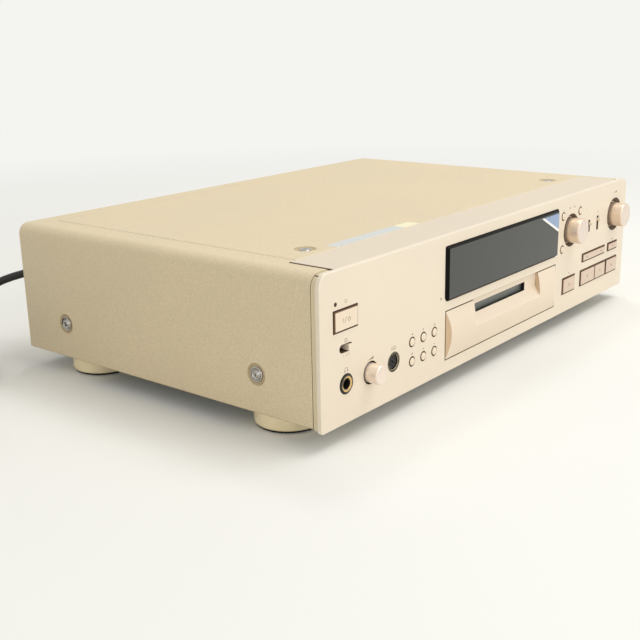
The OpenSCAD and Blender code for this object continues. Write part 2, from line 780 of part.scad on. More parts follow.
module small_button(k) {
    color(knob_gold) round_cap(small_places[k][0], small_places[k][1]);
}

module rec_button() {
    color(knob_gold) key_cap(rec_x, thin_v, rec_w - 2 * button_gap, thin_h - 2 * button_gap);
}

module play_button() {
    color(knob_gold)
        key_cap(play_x + button_gap / 4, key_v, play_w - 1.5 * button_gap, key_h - 2 * button_gap);
}

module pause_button() {
    color(knob_gold)
        key_cap(pause_x - button_gap / 4, key_v, pause_w - 1.5 * button_gap, key_h - 2 * button_gap);
}

module stop_button() {
    color(knob_gold)
        key_cap(stop_x + rib_w / 2, key_v, stop_w - rib_w - 2 * button_gap, key_h - 2 * button_gap);
}

module eject_button() {
    color(knob_gold) key_cap(eject_x, key_v, eject_w - 2 * button_gap, key_h - 2 * button_gap);
}

module search_rocker() {
    h = rocker_half + ear_gap + rocker_ear;
    color(knob_gold) {
        key_cap(search_x, thin_v, search_w - 2.4 * button_gap, thin_h - 2 * button_gap,
            [-search_w / 3, search_w / 3], rocker_back);
        translate([search_x, front_y + rocker_axis_y, z_top - thin_v - h])
            cylinder(r = pin_small_r, h = 2 * h);
    }
}

// ---- slide levers --------------------------------------------------------

tongue_l = 3.8;

// Distance below the panel's top of a lever at the upper end of an opening h high
function lever_v(h) = switch_v - h / 2 + lever_end + lever_size[1] / 2;

module timer_lever() {
    x = left_col + timer_travel / 2;
    color("#D8D2C4") {
        deep(-1.8, panel_t) rect_at(x, timer_v, 3.8, 3.4);
        deep(panel_t - eps, stack_t + tongue_l) rect_at(x, timer_v, 3, 3);
    }
}

// A lever that slides up and down in an opening h high, at its upper end
module up_lever(x, h) {
    v = lever_v(h);
    color(knob_gold) {
        deep(-lever_out, panel_t) rect_at(x, v, lever_size[0], lever_size[1]);
        deep(panel_t - eps, stack_t + tongue_l) rect_at(x, v, lever_size[0], 3);
    }
}

module input_lever() {
    up_lever(input_x, switch_hs[0]);
}

module mode_lever() {
    up_lever(mode_x, switch_hs[1]);
}

module slide_switches() {
    y0 = stack_t + 2;
    color(bare_steel) {
        difference() {
            deep(y0, board_y) rect_at(left_col, timer_v, 16, 7);
            deep(y0 - 1, y0 + 2.4) rect_at(left_col, timer_v, timer_travel + 3, 3, 0.4);
        }
        for (k = [0, 1])
            difference() {
                deep(y0, board_y) rect_at([input_x, mode_x][k], switch_v, 7, 16);
                deep(y0 - 1, y0 + 2.4)
                    rect_at([input_x, mode_x][k], switch_v, lever_size[0],
                        switch_hs[k] - 2 * lever_end + 1, 0.4);
            }
    }
}

// ---- knobs and sockets ---------------------------------------------------

pot_y = board_y + board_t + 0.4;
pot_depth = 12;
pot_half = 7;
shaft_end = pot_y + 6;
bushing_r = shaft_d / 2 + 1.4;

// A hollow knob with its shaft, d across, standing out by l
module knob(x, v, d, l, back, end) {
    r = d / 2;
    translate([x, front_y, z_top - v]) rotate([90, 0, 0]) rotate_extrude($fn = 96) polygon([
        [0, -end], [shaft_d / 2, -end], [shaft_d / 2, -back], [shaft_d / 2 + 1.2, -back],
        [shaft_d / 2 + 1.2, l - 4], [r - 1.6, l - 4], [r - 1.6, -back], [r, -back],
        [r, l - 0.8], [r - 0.25, l - 0.25], [r - 0.8, l], [0, l]]);
}

module jog_knob() {
    color(knob_gold) knob(jog_x, knob_v, knob_d, knob_out, panel_t - 1.4, shaft_end);
}

module rec_level_knob() {
    color(knob_gold) knob(rec_knob_x, knob_v, knob_d, knob_out, panel_t - 0.8, shaft_end);
}

module phone_level_knob() {
    color(knob_gold) knob(left_col + socket_pitch, socket_v, small_knob_d, small_knob_out, panel_t - 0.8,
        shaft_end);
}

plunger_gap = 0.4;
plunger_t = 2;
plunger_r = 4;

module jog_plunger() {
    d0 = shaft_end + plunger_gap;
    color("#3A3A38") rod_in(jog_x, knob_v, d0, d0 + plunger_t, plunger_r);
}

// The body of a rotary control behind the board, with the bushing that holds the shaft
module rotary_body(x, v, plunger) {
    end = shaft_end + plunger_gap;
    difference() {
        union() {
            deep(pot_y, pot_y + pot_depth) rect_at(x, v, 2 * pot_half, 2 * pot_half);
            rod_in(x, v, stack_t + 1.4, pot_y + eps, bushing_r);
        }
        rod_in(x, v, stack_t, end, shaft_d / 2 + run_gap);
        if (plunger) rod_in(x, v, shaft_end - fit_gap, end + plunger_t + 1.6, plunger_r + fit_gap);
    }
}

module rotary_controls() {
    color(bare_steel) {
        rotary_body(jog_x, knob_v, true);
        rotary_body(rec_knob_x, knob_v, false);
        rotary_body(left_col + socket_pitch, socket_v, false);
    }
}

module phones_jack() {
    color("#2A2824") difference() {
        union() {
            rod_in(left_col, socket_v, -0.2, stack_t + 1, phones_ring_r);
            deep(stack_t + 1, phones_depth + 4) rect_at(left_col, socket_v, 15, 15);
        }
        rod_in(left_col, socket_v, -1, phones_depth - 0.2, phones_r);
    }
}

module keyboard_socket() {
    x = keyboard_x;
    color("#55524C") {
        difference() {
            union() {
                rod_in(x, socket_v, 0.1, stack_t + 1, keyboard_r);
                deep(stack_t + 1, 22) rect_at(x, socket_v, 13, 13);
            }
            rod_in(x, socket_v, -1, 8, keyboard_r - 1.3);
        }
        difference() {
            rod_in(x, socket_v, 1, 8 + eps, 4.3);
            for (a = [30, 90, 150, 210, 270, 330])
                rod_in(x + 2.6 * cos(a), socket_v + 2.6 * sin(a), -1, 5, 0.6);
            deep(-1, 5) rect_at(x, socket_v, 1.6, 1.6);
        }
    }
}

// ---- disc mechanism ------------------------------------------------------

mech_posts = [for (x = [-mech_half - 3, mech_half + 3], y = [mech_y + 8, mech_y + mech_len - 8])
    [slot_x + x, y]];
mech_top = slot_z + 9;
arm_ear_x = 9.5;
arm_pin_r = 1.5;
load_motor_x = mech_half + 14;
rod_y0 = lug_ys[0];

module mech_chassis() {
    y0 = front_y + mech_y;
    y1 = y0 + mech_len;
    color(bare_steel) difference() {
        union() {
            block([slot_x - mech_half, y0, plate_z], [slot_x + mech_half, y1, plate_z + mech_wall]);
            for (s = [-1, 1])
                block([slot_x + s * (mech_half - mech_wall / 2) - mech_wall / 2, y0, plate_z],
                    [slot_x + s * (mech_half - mech_wall / 2) + mech_wall / 2, y1, mech_top]);
            block([slot_x - mech_half, y1 - mech_wall, plate_z], [slot_x + mech_half, y1, mech_top + 6]);
            for (p = mech_posts)
                translate([p[0], front_y + p[1], plate_z - 6]) cylinder(r = 3.5, h = 6 + mech_wall);
            for (y = [mech_posts[0][1], mech_posts[1][1]])
                block([slot_x - mech_half - 3, front_y + y - 3.5, plate_z],
                    [slot_x + mech_half + 3, front_y + y + 3.5, plate_z + mech_wall]);
            block([slot_x - load_motor_x - 3, y1 - 11.5, plate_z],
                [slot_x - mech_half + eps, y1 - 4.5, plate_z + mech_wall]);
            for (y = lug_ys, x = [-rod_x, rod_x])
                block([slot_x + x - 3.5, front_y + y, rod_z - 3],
                    [slot_x + x + 3.5, front_y + y + lug_w, plate_z + eps]);
            block([slot_x + screw_x - 3.5, front_y + lug_ys[0], rod_z - 3],
                [slot_x + screw_x + 3.5, front_y + lug_ys[0] + lug_w, plate_z + eps]);
            for (s = [-1, 1])
                block([slot_x + s * arm_ear_x - 1, front_y + arm_y - 3, arm_z - 3.5],
                    [slot_x + s * arm_ear_x + 1, y1 - mech_wall + eps, arm_z + 2.5]);
        }
        block([slot_x - sled_half - 4, front_y + lug_ys[0] + lug_w, plate_z - 0.5],
            [slot_x + screw_x + 3, front_y + lug_ys[1] - 0.5, plate_z + 2]);
        translate([slot_x, front_y + disc_y, plate_z - 1]) cylinder(r = 5, h = 3);
        for (x = [-rod_x, rod_x, screw_x])
            translate([slot_x + x, front_y + rod_y0 - 1, rod_z]) rotate([-90, 0, 0])
                cylinder(r = rod_d / 2 + run_gap, h = mech_len);
        translate([slot_x - 20, front_y + arm_y, arm_z - 0.5]) rotate([0, 90, 0])
            cylinder(r = arm_pin_r + run_gap, h = 40);
        for (y = guide_ys)
            block([slot_x - mech_half - 1, front_y + y - guide_slot, slot_z - lower_travel - guide_slot],
                [slot_x + mech_half + 1, front_y + y + guide_slot, slot_z + guide_slot]);
    }
}

guide_out = 2.4;

module cartridge_holder() {
    y0 = front_y + holder_y0;
    y1 = y0 + cartridge_l - 6;
    z0 = slot_z - cartridge_t / 2 - 1 - holder_t;
    z1 = slot_z + cartridge_t / 2 + 1 + holder_t;
    color("#B9BCBE") difference() {
        union() {
            block([slot_x - holder_half - holder_t, y0, z1 - holder_t],
                [slot_x + holder_half + holder_t, y1, z1]);
            for (s = [-1, 1]) {
                block([slot_x + s * (holder_half + holder_t / 2) - holder_t / 2, y0, z0],
                    [slot_x + s * (holder_half + holder_t / 2) + holder_t / 2, y1, z1]);
                block([slot_x + s * (holder_half - 3) - 3.4, y0, z0],
                    [slot_x + s * (holder_half - 3) + 3.4, y1, z0 + holder_t]);
                for (y = guide_ys)
                    translate([slot_x + s * (holder_half + holder_t / 2), front_y + y, slot_z])
                        rotate([0, s * 90, 0])
                            cylinder(r = guide_r, h = mech_half - holder_half + mech_wall + guide_out);
            }
        }
        block([slot_x - 9, front_y + disc_y + 8, z1 - 2], [slot_x + 9, y1 + 1, z1 + 1]);
    }
}

slider_gap = 0.5;
slider_t = 1.2;

module loading_slider() {
    y0 = front_y + guide_ys[0] - load_travel - 5;
    y1 = front_y + guide_ys[1] + 5;
    x0 = mech_half + slider_gap;
    color("#5B5D60") {
        for (s = [-1, 1])
            difference() {
                block([slot_x + s * (x0 + slider_t / 2) - slider_t / 2, y0, plate_z + mech_wall + 0.4],
                    [slot_x + s * (x0 + slider_t / 2) + slider_t / 2, y1, slot_z + 5]);
                for (y = guide_ys)
                    slanted_slot(s, y);
            }
    }
}

// The slanted slot that lowers a guide pin as the slider moves back
module slanted_slot(s, y) {
    w = guide_slot;
    x = slot_x + s * (mech_half + slider_gap + slider_t / 2);
    across(x - 3, x + 3) polygon([
        [front_y + y - load_travel - w, slot_z - lower_travel - w],
        [front_y + y - load_travel + w, slot_z - lower_travel - w],
        [front_y + y + w, slot_z - w], [front_y + y + w, slot_z + w],
        [front_y + y - w, slot_z + w], [front_y + y - load_travel - w, slot_z - lower_travel + w]]);
}

spindle_top = slot_z - cartridge_t / 2 - lower_travel + 0.8;
motor_z = plate_z - 7;

module spindle() {
    color("#C8CACC") translate([slot_x, front_y + disc_y, 0]) rotate_extrude() polygon([
        [0, motor_z + 2], [1, motor_z + 2], [1, spindle_top - 2.2], [8, spindle_top - 2.2],
        [8, spindle_top - 0.8], [2.4, spindle_top - 0.8], [1.8, spindle_top], [0, spindle_top]]);
}

module mech_motors() {
    y1 = front_y + mech_y + mech_len;
    color("#8A8C8E") {
        difference() {
            translate([slot_x, front_y + disc_y, motor_z]) cylinder(r = 9.5, h = plate_z - motor_z);
            translate([slot_x, front_y + disc_y, motor_z + 1.9]) cylinder(r = 1 + run_gap, h = 12);
        }
        difference() {
            union() {
                translate([slot_x + screw_x, y1 - 6.6, rod_z]) rotate([-90, 0, 0]) cylinder(r = 3.6, h = 10);
                block([slot_x + screw_x - 3, y1 - 6.6, rod_z], [slot_x + screw_x + 3, y1 - 1, plate_z]);
            }
            translate([slot_x + screw_x, y1 - 7, rod_z]) rotate([-90, 0, 0])
                cylinder(r = screw_d / 2 + run_gap, h = 3);
        }
        translate([slot_x - load_motor_x, y1 - 24, plate_z - 6]) rotate([-90, 0, 0]) cylinder(r = 6, h = 18);
    }
}

module pickup_sled() {
    y0 = front_y + sled_y;
    z0 = rod_z - 4;
    color("#3C3E40") difference() {
        union() {
            block([slot_x - sled_half - 6, y0, z0], [slot_x + sled_half + 6, y0 + sled_l, plate_z - 1]);
            block([slot_x - 9, y0 + 2, z0], [slot_x + 9, y0 + sled_l - 2, plate_z + 2.6]);
            block([slot_x + sled_half + 5, y0 + 6, z0 + 1], [slot_x + screw_x + 3.5, y0 + 14, rod_z + 3]);
            translate([slot_x, y0 + 8, plate_z + 2.5]) cylinder(r = 3, h = 1);
        }
        for (s = [-1, 1])
            translate([slot_x + s * rod_x, y0 - 1, rod_z]) rotate([-90, 0, 0])
                cylinder(r = rod_d / 2 + run_gap, h = sled_l + 2);
        translate([slot_x + screw_x, y0 - 1, rod_z]) rotate([-90, 0, 0])
            cylinder(r = screw_d / 2 + run_gap, h = sled_l + 2);
    }
}

module lead_screw() {
    color("#D0D2D4") translate([slot_x + screw_x, front_y + rod_y0, rod_z]) rotate([-90, 0, 0])
        cylinder(r = screw_d / 2, h = mech_y + mech_len - 4.4 - rod_y0);
}

module guide_rods() {
    color("#D0D2D4") for (s = [-1, 1])
        translate([slot_x + s * rod_x, front_y + rod_y0, rod_z]) rotate([-90, 0, 0])
            cylinder(r = rod_d / 2, h = lug_ys[1] + lug_w - rod_y0);
}

module head_arm() {
    y0 = front_y + disc_y + 14;
    color("#9EA0A2") {
        block([slot_x - 5, y0, arm_z - 1], [slot_x + 5, front_y + arm_y + 3, arm_z]);
        block([slot_x - 3, y0 + 2, arm_z - 3], [slot_x + 3, y0 + 8, arm_z - 1 + eps]);
        translate([slot_x - 11, front_y + arm_y, arm_z - 0.5]) rotate([0, 90, 0])
            cylinder(r = arm_pin_r, h = 22);
    }
}

// ---- boards and power ----------------------------------------------------

board_side = 15;
board_rear = 19;
main_x = [58, case_w / 2 - board_side];
main_y = [60, case_d - board_rear];
power_x = [-case_w / 2 + board_side, -70];
power_y = [150, case_d - board_rear];
board_z = foot_h + 0.2 + chassis_t + standoff_h;
standoffs = [for (x = [main_x[0] + 6, main_x[1] - 6], y = [main_y[0] + 6, main_y[1] - 6]) [x, y],
    for (x = [power_x[0] + 6, power_x[1] - 6], y = [power_y[0] + 6, power_y[1] - 6]) [x, y]];

// Each chip: its corner as shares of the main board, then its width and length
chip_places = [[0.225, 0.198, 22, 22], [0.507, 0.297, 16, 16], [0.296, 0.495, 24, 12],
    [0.648, 0.594, 14, 10], [0.155, 0.792, 12, 10], [0.789, 0.149, 18, 8], [0.437, 0.842, 26, 10]];

// Each capacitor: its place from the power board's outer rear corner, its radius and its height
capacitor_places = [[20, 67, 8, 32], [42, 67, 8, 32], [20, 42, 6, 22], [38, 42, 6, 22], [90, 24, 5, 16],
    [104, 24, 5, 16]];

module circuit_boards() {
    color("#2C3A54") for (c = capacitor_places)
        translate([power_x[0] + c[0], front_y + power_y[1] - c[1], board_z + board_t])
            cylinder(r = c[2], h = c[3]);
    color(board_green) {
        for (b = [[main_x, main_y], [power_x, power_y]])
            block([b[0][0], front_y + b[1][0], board_z], [b[0][1], front_y + b[1][1], board_z + board_t]);
        for (c = chip_places)
            translate([main_x[0] + c[0] * (main_x[1] - main_x[0]),
                front_y + main_y[0] + c[1] * (main_y[1] - main_y[0]), board_z + board_t - eps])
                cube([c[2], c[3], 3 + eps]);
    }
}

transformer_x = power_x[0] + 32;
transformer_y = 110;

core_half = [29, 24];
core_z = [6, 44];
core_foot = [33, 12];
winding_half = 18;
winding_out = 7;
winding_z = [12, 38];

module transformer() {
    z0 = foot_h + 0.2 + chassis_t;
    x = transformer_x;
    y = front_y + transformer_y;
    color("#6B5B4A") {
        block([x - core_half[0], y - core_half[1], z0 + core_z[0]],
            [x + core_half[0], y + core_half[1], z0 + core_z[1]]);
        block([x - core_foot[0], y - core_foot[1], z0], [x + core_foot[0], y + core_foot[1], z0 + core_z[0] + eps]);
        for (s = [-1, 1])
            translate([x, y, z0]) rotate([0, 0, s > 0 ? 0 : 180])
                translate([-winding_half, core_half[1] - eps, winding_z[0]])
                    cube([2 * winding_half, winding_out + eps, winding_z[1] - winding_z[0]]);
    }
}

fins = 7;
fin_pitch = 6;

module heat_sink() {
    x0 = power_x[0] + 72;
    y0 = front_y + power_y[1] - 72;
    z0 = board_z + board_t;
    color("#A9ABAD") {
        block([x0, y0, z0], [x0 + (fins - 1) * fin_pitch + 2, y0 + 3, z0 + 34]);
        for (k = [0:fins - 1])
            block([x0 + k * fin_pitch, y0 + 3 - eps, z0], [x0 + k * fin_pitch + 2, y0 + 16, z0 + 34]);
    }
}

ribbon_t = 0.6;
ribbon_w = 24;
ribbon_x = 112;

module ribbon_cable() {
    t = ribbon_t;
    y0 = front_y + board_y + board_t;
    y1 = front_y + main_y[0] + 8;
    z1 = board_z + board_t;
    z0 = z1 + 26;
    color("#E6E6E2") across(ribbon_x, ribbon_x + ribbon_w) polygon([
        [y0, z0], [y0 + 8, z0], [y0 + 24, z1 + 10], [y1 - 8, z1 + 10], [y1, z1], [y1 + t * 1.4, z1],
        [y1 - 8 + t, z1 + 10 + t], [y0 + 24 + t / 2, z1 + 10 + t], [y0 + 8 + t / 2, z0 + t], [y0, z0 + t]]);
}

module rear_sockets() {
    d1 = case_d - rear_inset - chassis_t;
    out = case_d + socket_out;
    color("#2B2B2B") {
        for (pair = [0, 1])
            deep(d1 - 14, d1 - 0.1)
                rect_at((socket_xs[2 * pair] + socket_xs[2 * pair + 1]) / 2, z_top - socket_z, 26, 14);
        for (x = socket_xs)
            difference() {
                union() {
                    rod_in(x, z_top - socket_z, d1 - 0.2, out, socket_d / 2);
                    rod_in(x, z_top - socket_z, d1 - 0.2, case_d - rear_inset + 0.6, socket_d / 2 + 1);
                }
                rod_in(x, z_top - socket_z, out - 8, out + 1, 1.6);
            }
        for (x = optical_xs) {
            deep(d1 - 14, d1 - 0.1) rect_at(x, z_top - socket_z, 13, 13);
            deep(d1 - 0.2, case_d - rear_inset + 0.4) rect_at(x, z_top - socket_z, 9.6, 9.6);
            deep(case_d - rear_inset + 0.4 - eps, case_d - rear_inset + 1) rect_at(x, z_top - socket_z, 7, 7);
        }
    }
}

// ---- mains cord ----------------------------------------------------------

relief_r = 7;

module strain_relief() {
    d0 = case_d - rear_inset - chassis_t;
    y0 = front_y + d0;
    l = relief_end_y - y0;
    color(dark_plastic) translate([cord_x, y0, cord_exit_z]) rotate([-90, 0, 0]) rotate_extrude() polygon([
        [0, -7], [relief_r - 1.2, -7], [relief_r - 0.1, -4], [relief_r - 0.1, chassis_t],
        [relief_r + 1.6, chassis_t], [relief_r + 1.6, chassis_t + 2.4], [relief_r - 0.8, chassis_t + 4],
        [cord_r + 1, l], [0, l]]);
}

function unit(v) = v / norm(v);

// One ring of n points round point p, square to direction t
function ring(p, t, r, n) =
    let (side = unit(cross(t, [0, 0, 1])), up = cross(side, t))
    [for (k = [0:n - 1]) p + r * (cos(360 * (k + 0.5) / n) * side + sin(360 * (k + 0.5) / n) * up)];

// Direction of a path at its point i
function heading(path, i) =
    unit(path[min(i + 1, len(path) - 1)] - path[max(i - 1, 0)]);

// A closed tube of radius r and n sides along a path
module tube(path, r, n) {
    m = len(path);
    points = [for (i = [0:m - 1]) each ring(path[i], heading(path, i), r, n)];
    sides = [for (i = [0:m - 2], k = [0:n - 1])
        let (a = i * n + k, b = i * n + (k + 1) % n) each [[a, b, a + n], [b, b + n, a + n]]];
    first = [for (k = [1:n - 2]) [0, k + 1, k]];
    last = [for (k = [1:n - 2]) [(m - 1) * n, (m - 1) * n + k, (m - 1) * n + k + 1]];
    polyhedron(points = points, faces = concat(sides, first, last));
}

// Radius of the coil after a number of turns: in at a steady rate, then out again
function coil_radius(turn) =
    coil_r - coil_pitch * min(turn, coil_turns - turn);

// Height of the coil after a number of turns: it climbs in the half turn where it reverses
function coil_height(turn) =
    coil_z + coil_pitch * min(1, max(0, (turn - coil_turns / 2) * 2 + 0.5));

function coil_point(turn) =
    [coil_c[0] + coil_radius(turn) * cos(90 + 360 * turn),
        coil_c[1] + coil_radius(turn) * sin(90 + 360 * turn),
        coil_height(turn)];

coil_steps = coil_turns * coil_rings;
coil_route = concat(
    [[coil_c[0] + cord_d, coil_c[1] + coil_r, coil_z]],
    [for (i = [0:coil_steps]) coil_point(i / coil_rings)],
    [[coil_c[0] - coil_r, coil_c[1] - cord_d, coil_z + coil_pitch]]);

// Least gap from the coil to itself, measured between points over half a loop apart
coil_least_gap = min([for (i = [0:len(coil_route) - 1], j = [i + 13:1:len(coil_route) - 1])
    norm(coil_route[i] - coil_route[j])]) - cord_d;

function route_length(path) =
    let (steps = [for (i = [0:len(path) - 2]) norm(path[i + 1] - path[i])])
    steps * [for (s = steps) 1];

cord_length = route_length(lead_route) + route_length(coil_route) + route_length(tail_route);

module power_cord() {
    color(dark_plastic) {
        tube(lead_route, cord_r, 8);
        tube(tail_route, cord_r, 8);
    }
}

module cord_coil() {
    echo(coil_least_gap = coil_least_gap, cord_length = cord_length);
    color(dark_plastic) tube(coil_route, cord_r, 6);
}

plug_x = coil_c[0] - coil_r;
pin_pitch = 18.6;
pin_r = 2;
pin_l = 19;
plug_end_y = plug_y - plug_l;

module plug() {
    color(dark_plastic) {
        translate([plug_x, 0, plug_z - 6.4]) linear_extrude(12.8) polygon([
            [-5, plug_y - 6], [-6.5, plug_y - 14], [-13, plug_y - 26], [-13, plug_end_y],
            [13, plug_end_y], [13, plug_y - 26], [6.5, plug_y - 14], [5, plug_y - 6]]);
        translate([plug_x, plug_y, plug_z]) rotate([90, 0, 0])
            cylinder(r1 = cord_r + 1, r2 = 4.8, h = 6 + eps);
    }
}

module plug_pins() {
    color("#C9B26A") for (s = [-1, 1])
        translate([plug_x + s * pin_pitch / 2, plug_end_y, plug_z]) rotate([90, 0, 0])
            cylinder(r = pin_r, h = pin_l);
}

// ---- the deck ------------------------------------------------------------

top_cover();
front_panel();
top_return();
front_sub_panel();
chassis_base();
rear_panel();
feet();
foot_pads();
case_screws();
display_window();
display_tube();
control_boards();
slot_bezel();
slot_door();
power_button();
timer_lever();
slide_switches();
phones_jack();
phone_level_knob();
rotary_controls();
keyboard_socket();
for (k = [0:5])
    function_button(k);
jog_knob();
jog_plunger();
for (k = [0:2])
    small_button(k);
input_lever();
mode_lever();
rec_level_knob();
search_rocker();
rec_button();
play_button();
pause_button();
stop_button();
eject_button();
mech_chassis();
cartridge_holder();
loading_slider();
spindle();
mech_motors();
pickup_sled();
lead_screw();
guide_rods();
head_arm();
circuit_boards();
transformer();
heat_sink();
ribbon_cable();
rear_sockets();
strain_relief();
power_cord();
cord_coil();
plug();
plug_pins();
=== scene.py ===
import math
import bmesh
import bpy
from mathutils import Matrix, Vector


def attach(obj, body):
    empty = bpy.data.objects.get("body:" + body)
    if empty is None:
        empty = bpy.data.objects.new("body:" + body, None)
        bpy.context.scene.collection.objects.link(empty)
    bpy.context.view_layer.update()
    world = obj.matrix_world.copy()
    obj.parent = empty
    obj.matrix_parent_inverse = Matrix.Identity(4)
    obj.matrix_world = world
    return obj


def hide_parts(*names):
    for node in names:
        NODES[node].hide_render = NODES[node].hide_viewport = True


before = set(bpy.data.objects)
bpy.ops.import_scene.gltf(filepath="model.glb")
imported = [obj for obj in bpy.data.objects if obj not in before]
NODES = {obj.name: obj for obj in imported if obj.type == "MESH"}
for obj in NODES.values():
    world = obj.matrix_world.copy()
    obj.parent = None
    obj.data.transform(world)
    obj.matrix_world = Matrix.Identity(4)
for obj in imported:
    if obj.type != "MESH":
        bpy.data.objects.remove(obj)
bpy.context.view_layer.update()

# A millimetre in the scene's metres
MM = 0.001

# In mm: the front face's place, the top of the case, its depth and half its width
FRONT, Z_TOP, CASE_D, HALF_W = -140.0, 107.5, 281.0, 215.0
REAR = FRONT + CASE_D

# Columns (from the middle) and rows (below the top) of the controls
JOG_X, REC_LEVEL_X, KNOB_V = 107.2, 191.5, 28.6
PHONES_X, PHONE_LEVEL_X, KEYBOARD_X, SOCKET_V = -191.0, -166.6, -142.2, 70.5
FUNCTION_X, FUNCTION_V, FUNCTION_DX, FUNCTION_DV = -108.3, 69.4, 13.2, 6.6
SMALL_BUTTONS = [(92, 15.3), (122.4, 15.3), (92, 41.9)]
KNOB_R, PHONE_KNOB_R = 10, 6.2

# The cover's screws, each Y behind the front face, and the line sockets at the rear
SIDE_SCREW_Y, SIDE_SCREW_Z = (51, 235), 38.9
TOP_SCREW_X, TOP_SCREW_Y = 165, 51
RCA_X, RCA_Z = (60, 74, 100, 114), 66

SCENE = bpy.context.scene


# ---- camera ----------------------------------------------------------------

AZ, EL, ROLL = -0.88715, 0.28918, -0.02076
CAMERA_AT = (-0.627894, -0.476813, 0.240759)
FOCAL_PX, PHOTO_PX, SENSOR = 991.91, 640, 36
look = Vector((-math.sin(AZ) * math.cos(EL), math.cos(AZ) * math.cos(EL), -math.sin(EL)))
side = Vector((math.cos(AZ), math.sin(AZ), 0))
over = side.cross(look)
cam_x = side * math.cos(ROLL) + over * math.sin(ROLL)
cam_y = over * math.cos(ROLL) - side * math.sin(ROLL)
camera = bpy.data.objects.new("camera", bpy.data.cameras.new("camera"))
SCENE.collection.objects.link(camera)
camera.matrix_world = Matrix((
    (cam_x.x, cam_y.x, -look.x, CAMERA_AT[0]),
    (cam_x.y, cam_y.y, -look.y, CAMERA_AT[1]),
    (cam_x.z, cam_y.z, -look.z, CAMERA_AT[2]),
    (0, 0, 0, 1)))
camera.data.sensor_width = SENSOR
camera.data.lens = FOCAL_PX / PHOTO_PX * SENSOR
camera.data.clip_start = 0.01
SCENE.camera = camera


# ---- finishes --------------------------------------------------------------

def lin(code):
    """A colour written as six hexadecimal digits, in linear light."""
    out = []
    for i in (0, 2, 4):
        c = int(code[i:i + 2], 16) / 255
        out.append(c / 12.92 if c <= 0.04045 else ((c + 0.055) / 1.055) ** 2.4)
    return (*out, 1)


def shade(color, k):
    """The colour made lighter or darker by the factor k."""
    return (min(1, color[0] * k), min(1, color[1] * k), min(1, color[2] * k), 1)


def mapped(tree, stretch):
    """Object coordinates, stretched by a factor for each axis."""
    where = tree.nodes.new("ShaderNodeTexCoord")
    mapping = tree.nodes.new("ShaderNodeMapping")
    mapping.inputs["Scale"].default_value = stretch
    tree.links.new(where.outputs["Object"], mapping.inputs["Vector"])
    return mapping.outputs["Vector"]


def noise(tree, vector, scale, detail, rough):
    n = tree.nodes.new("ShaderNodeTexNoise")
    n.inputs["Scale"].default_value = scale
    n.inputs["Detail"].default_value = detail
    n.inputs["Roughness"].default_value = rough
    tree.links.new(vector, n.inputs["Vector"])
    return n.outputs["Fac"]


def spread(tree, value, low, high, a=0.3, b=0.7):
    """Takes a value from the range a..b to the range low..high."""
    m = tree.nodes.new("ShaderNodeMapRange")
    for key, v in (("From Min", a), ("From Max", b), ("To Min", low), ("To Max", high)):
        m.inputs[key].default_value = v
    tree.links.new(value, m.inputs["Value"])
    return m.outputs["Result"]


def blend_colors(tree, factor, a, b):
    """The colour a where the factor is 0, and b where it is 1."""
    m = tree.nodes.new("ShaderNodeMix")
    m.data_type = "RGBA"
    for sock, v in ((m.inputs["Factor"], factor), (m.inputs["A"], a), (m.inputs["B"], b)):
        if hasattr(v, "is_output"):
            tree.links.new(v, sock)
        else:
            sock.default_value = v
    return m.outputs["Result"]


# Depth of the grain's bump, the specks' darkness and the colour that bevels lean to, a painted highlight and
# wear
GRAIN_DEPTH, SPECK, BEVEL_SHEEN_AND_WEAR = 0.0001, 0.74, (1, 0.97, 0.9, 1)


def finish(name, code, rough=0.4, metal=0.0, vary=0.04, patch=14, rough_vary=0.06, grain=0.15,
           grain_scale=2500, stretch=(1, 1, 1), edge=0.0, spots=0.0, specular=0.5):
    """A material with soft patches in its colour and gloss, fine grain in its bump, paler bevels where edge
    is set, a painted highlight and wear, and darker specks where spots is set."""
    mat = bpy.data.materials.new(name)
    mat.use_nodes = True
    tree = mat.node_tree
    shader = tree.nodes["Principled BSDF"]
    color = lin(code)
    vector = mapped(tree, stretch)
    broad = noise(tree, vector, patch, 4, 0.55)
    fine = noise(tree, vector, grain_scale, 2, 0.6)
    tone = blend_colors(tree, spread(tree, broad, 0, 1), shade(color, 1 - vary), shade(color, 1 + vary))
    if spots:
        speck = noise(tree, vector, grain_scale * 0.8, 2, 0.7)
        tone = blend_colors(tree, spread(tree, speck, 0, spots, 0.36, 0.66), tone, shade(color, SPECK))
    if edge:
        mark = tree.nodes.new("ShaderNodeAttribute")
        mark.attribute_name = "edge"
        tone = blend_colors(tree, spread(tree, mark.outputs["Fac"], 0, edge, 0, 1), tone, BEVEL_SHEEN_AND_WEAR)
    tree.links.new(tone, shader.inputs["Base Color"])
    tree.links.new(spread(tree, broad, rough - rough_vary, rough + rough_vary), shader.inputs["Roughness"])
    shader.inputs["Metallic"].default_value = metal
    shader.inputs["Specular IOR Level"].default_value = specular
    bump = tree.nodes.new("ShaderNodeBump")
    bump.inputs["Strength"].default_value = grain
    bump.inputs["Distance"].default_value = GRAIN_DEPTH
    tree.links.new(fine, bump.inputs["Height"])
    tree.links.new(bump.outputs["Normal"], shader.inputs["Normal"])
    return mat


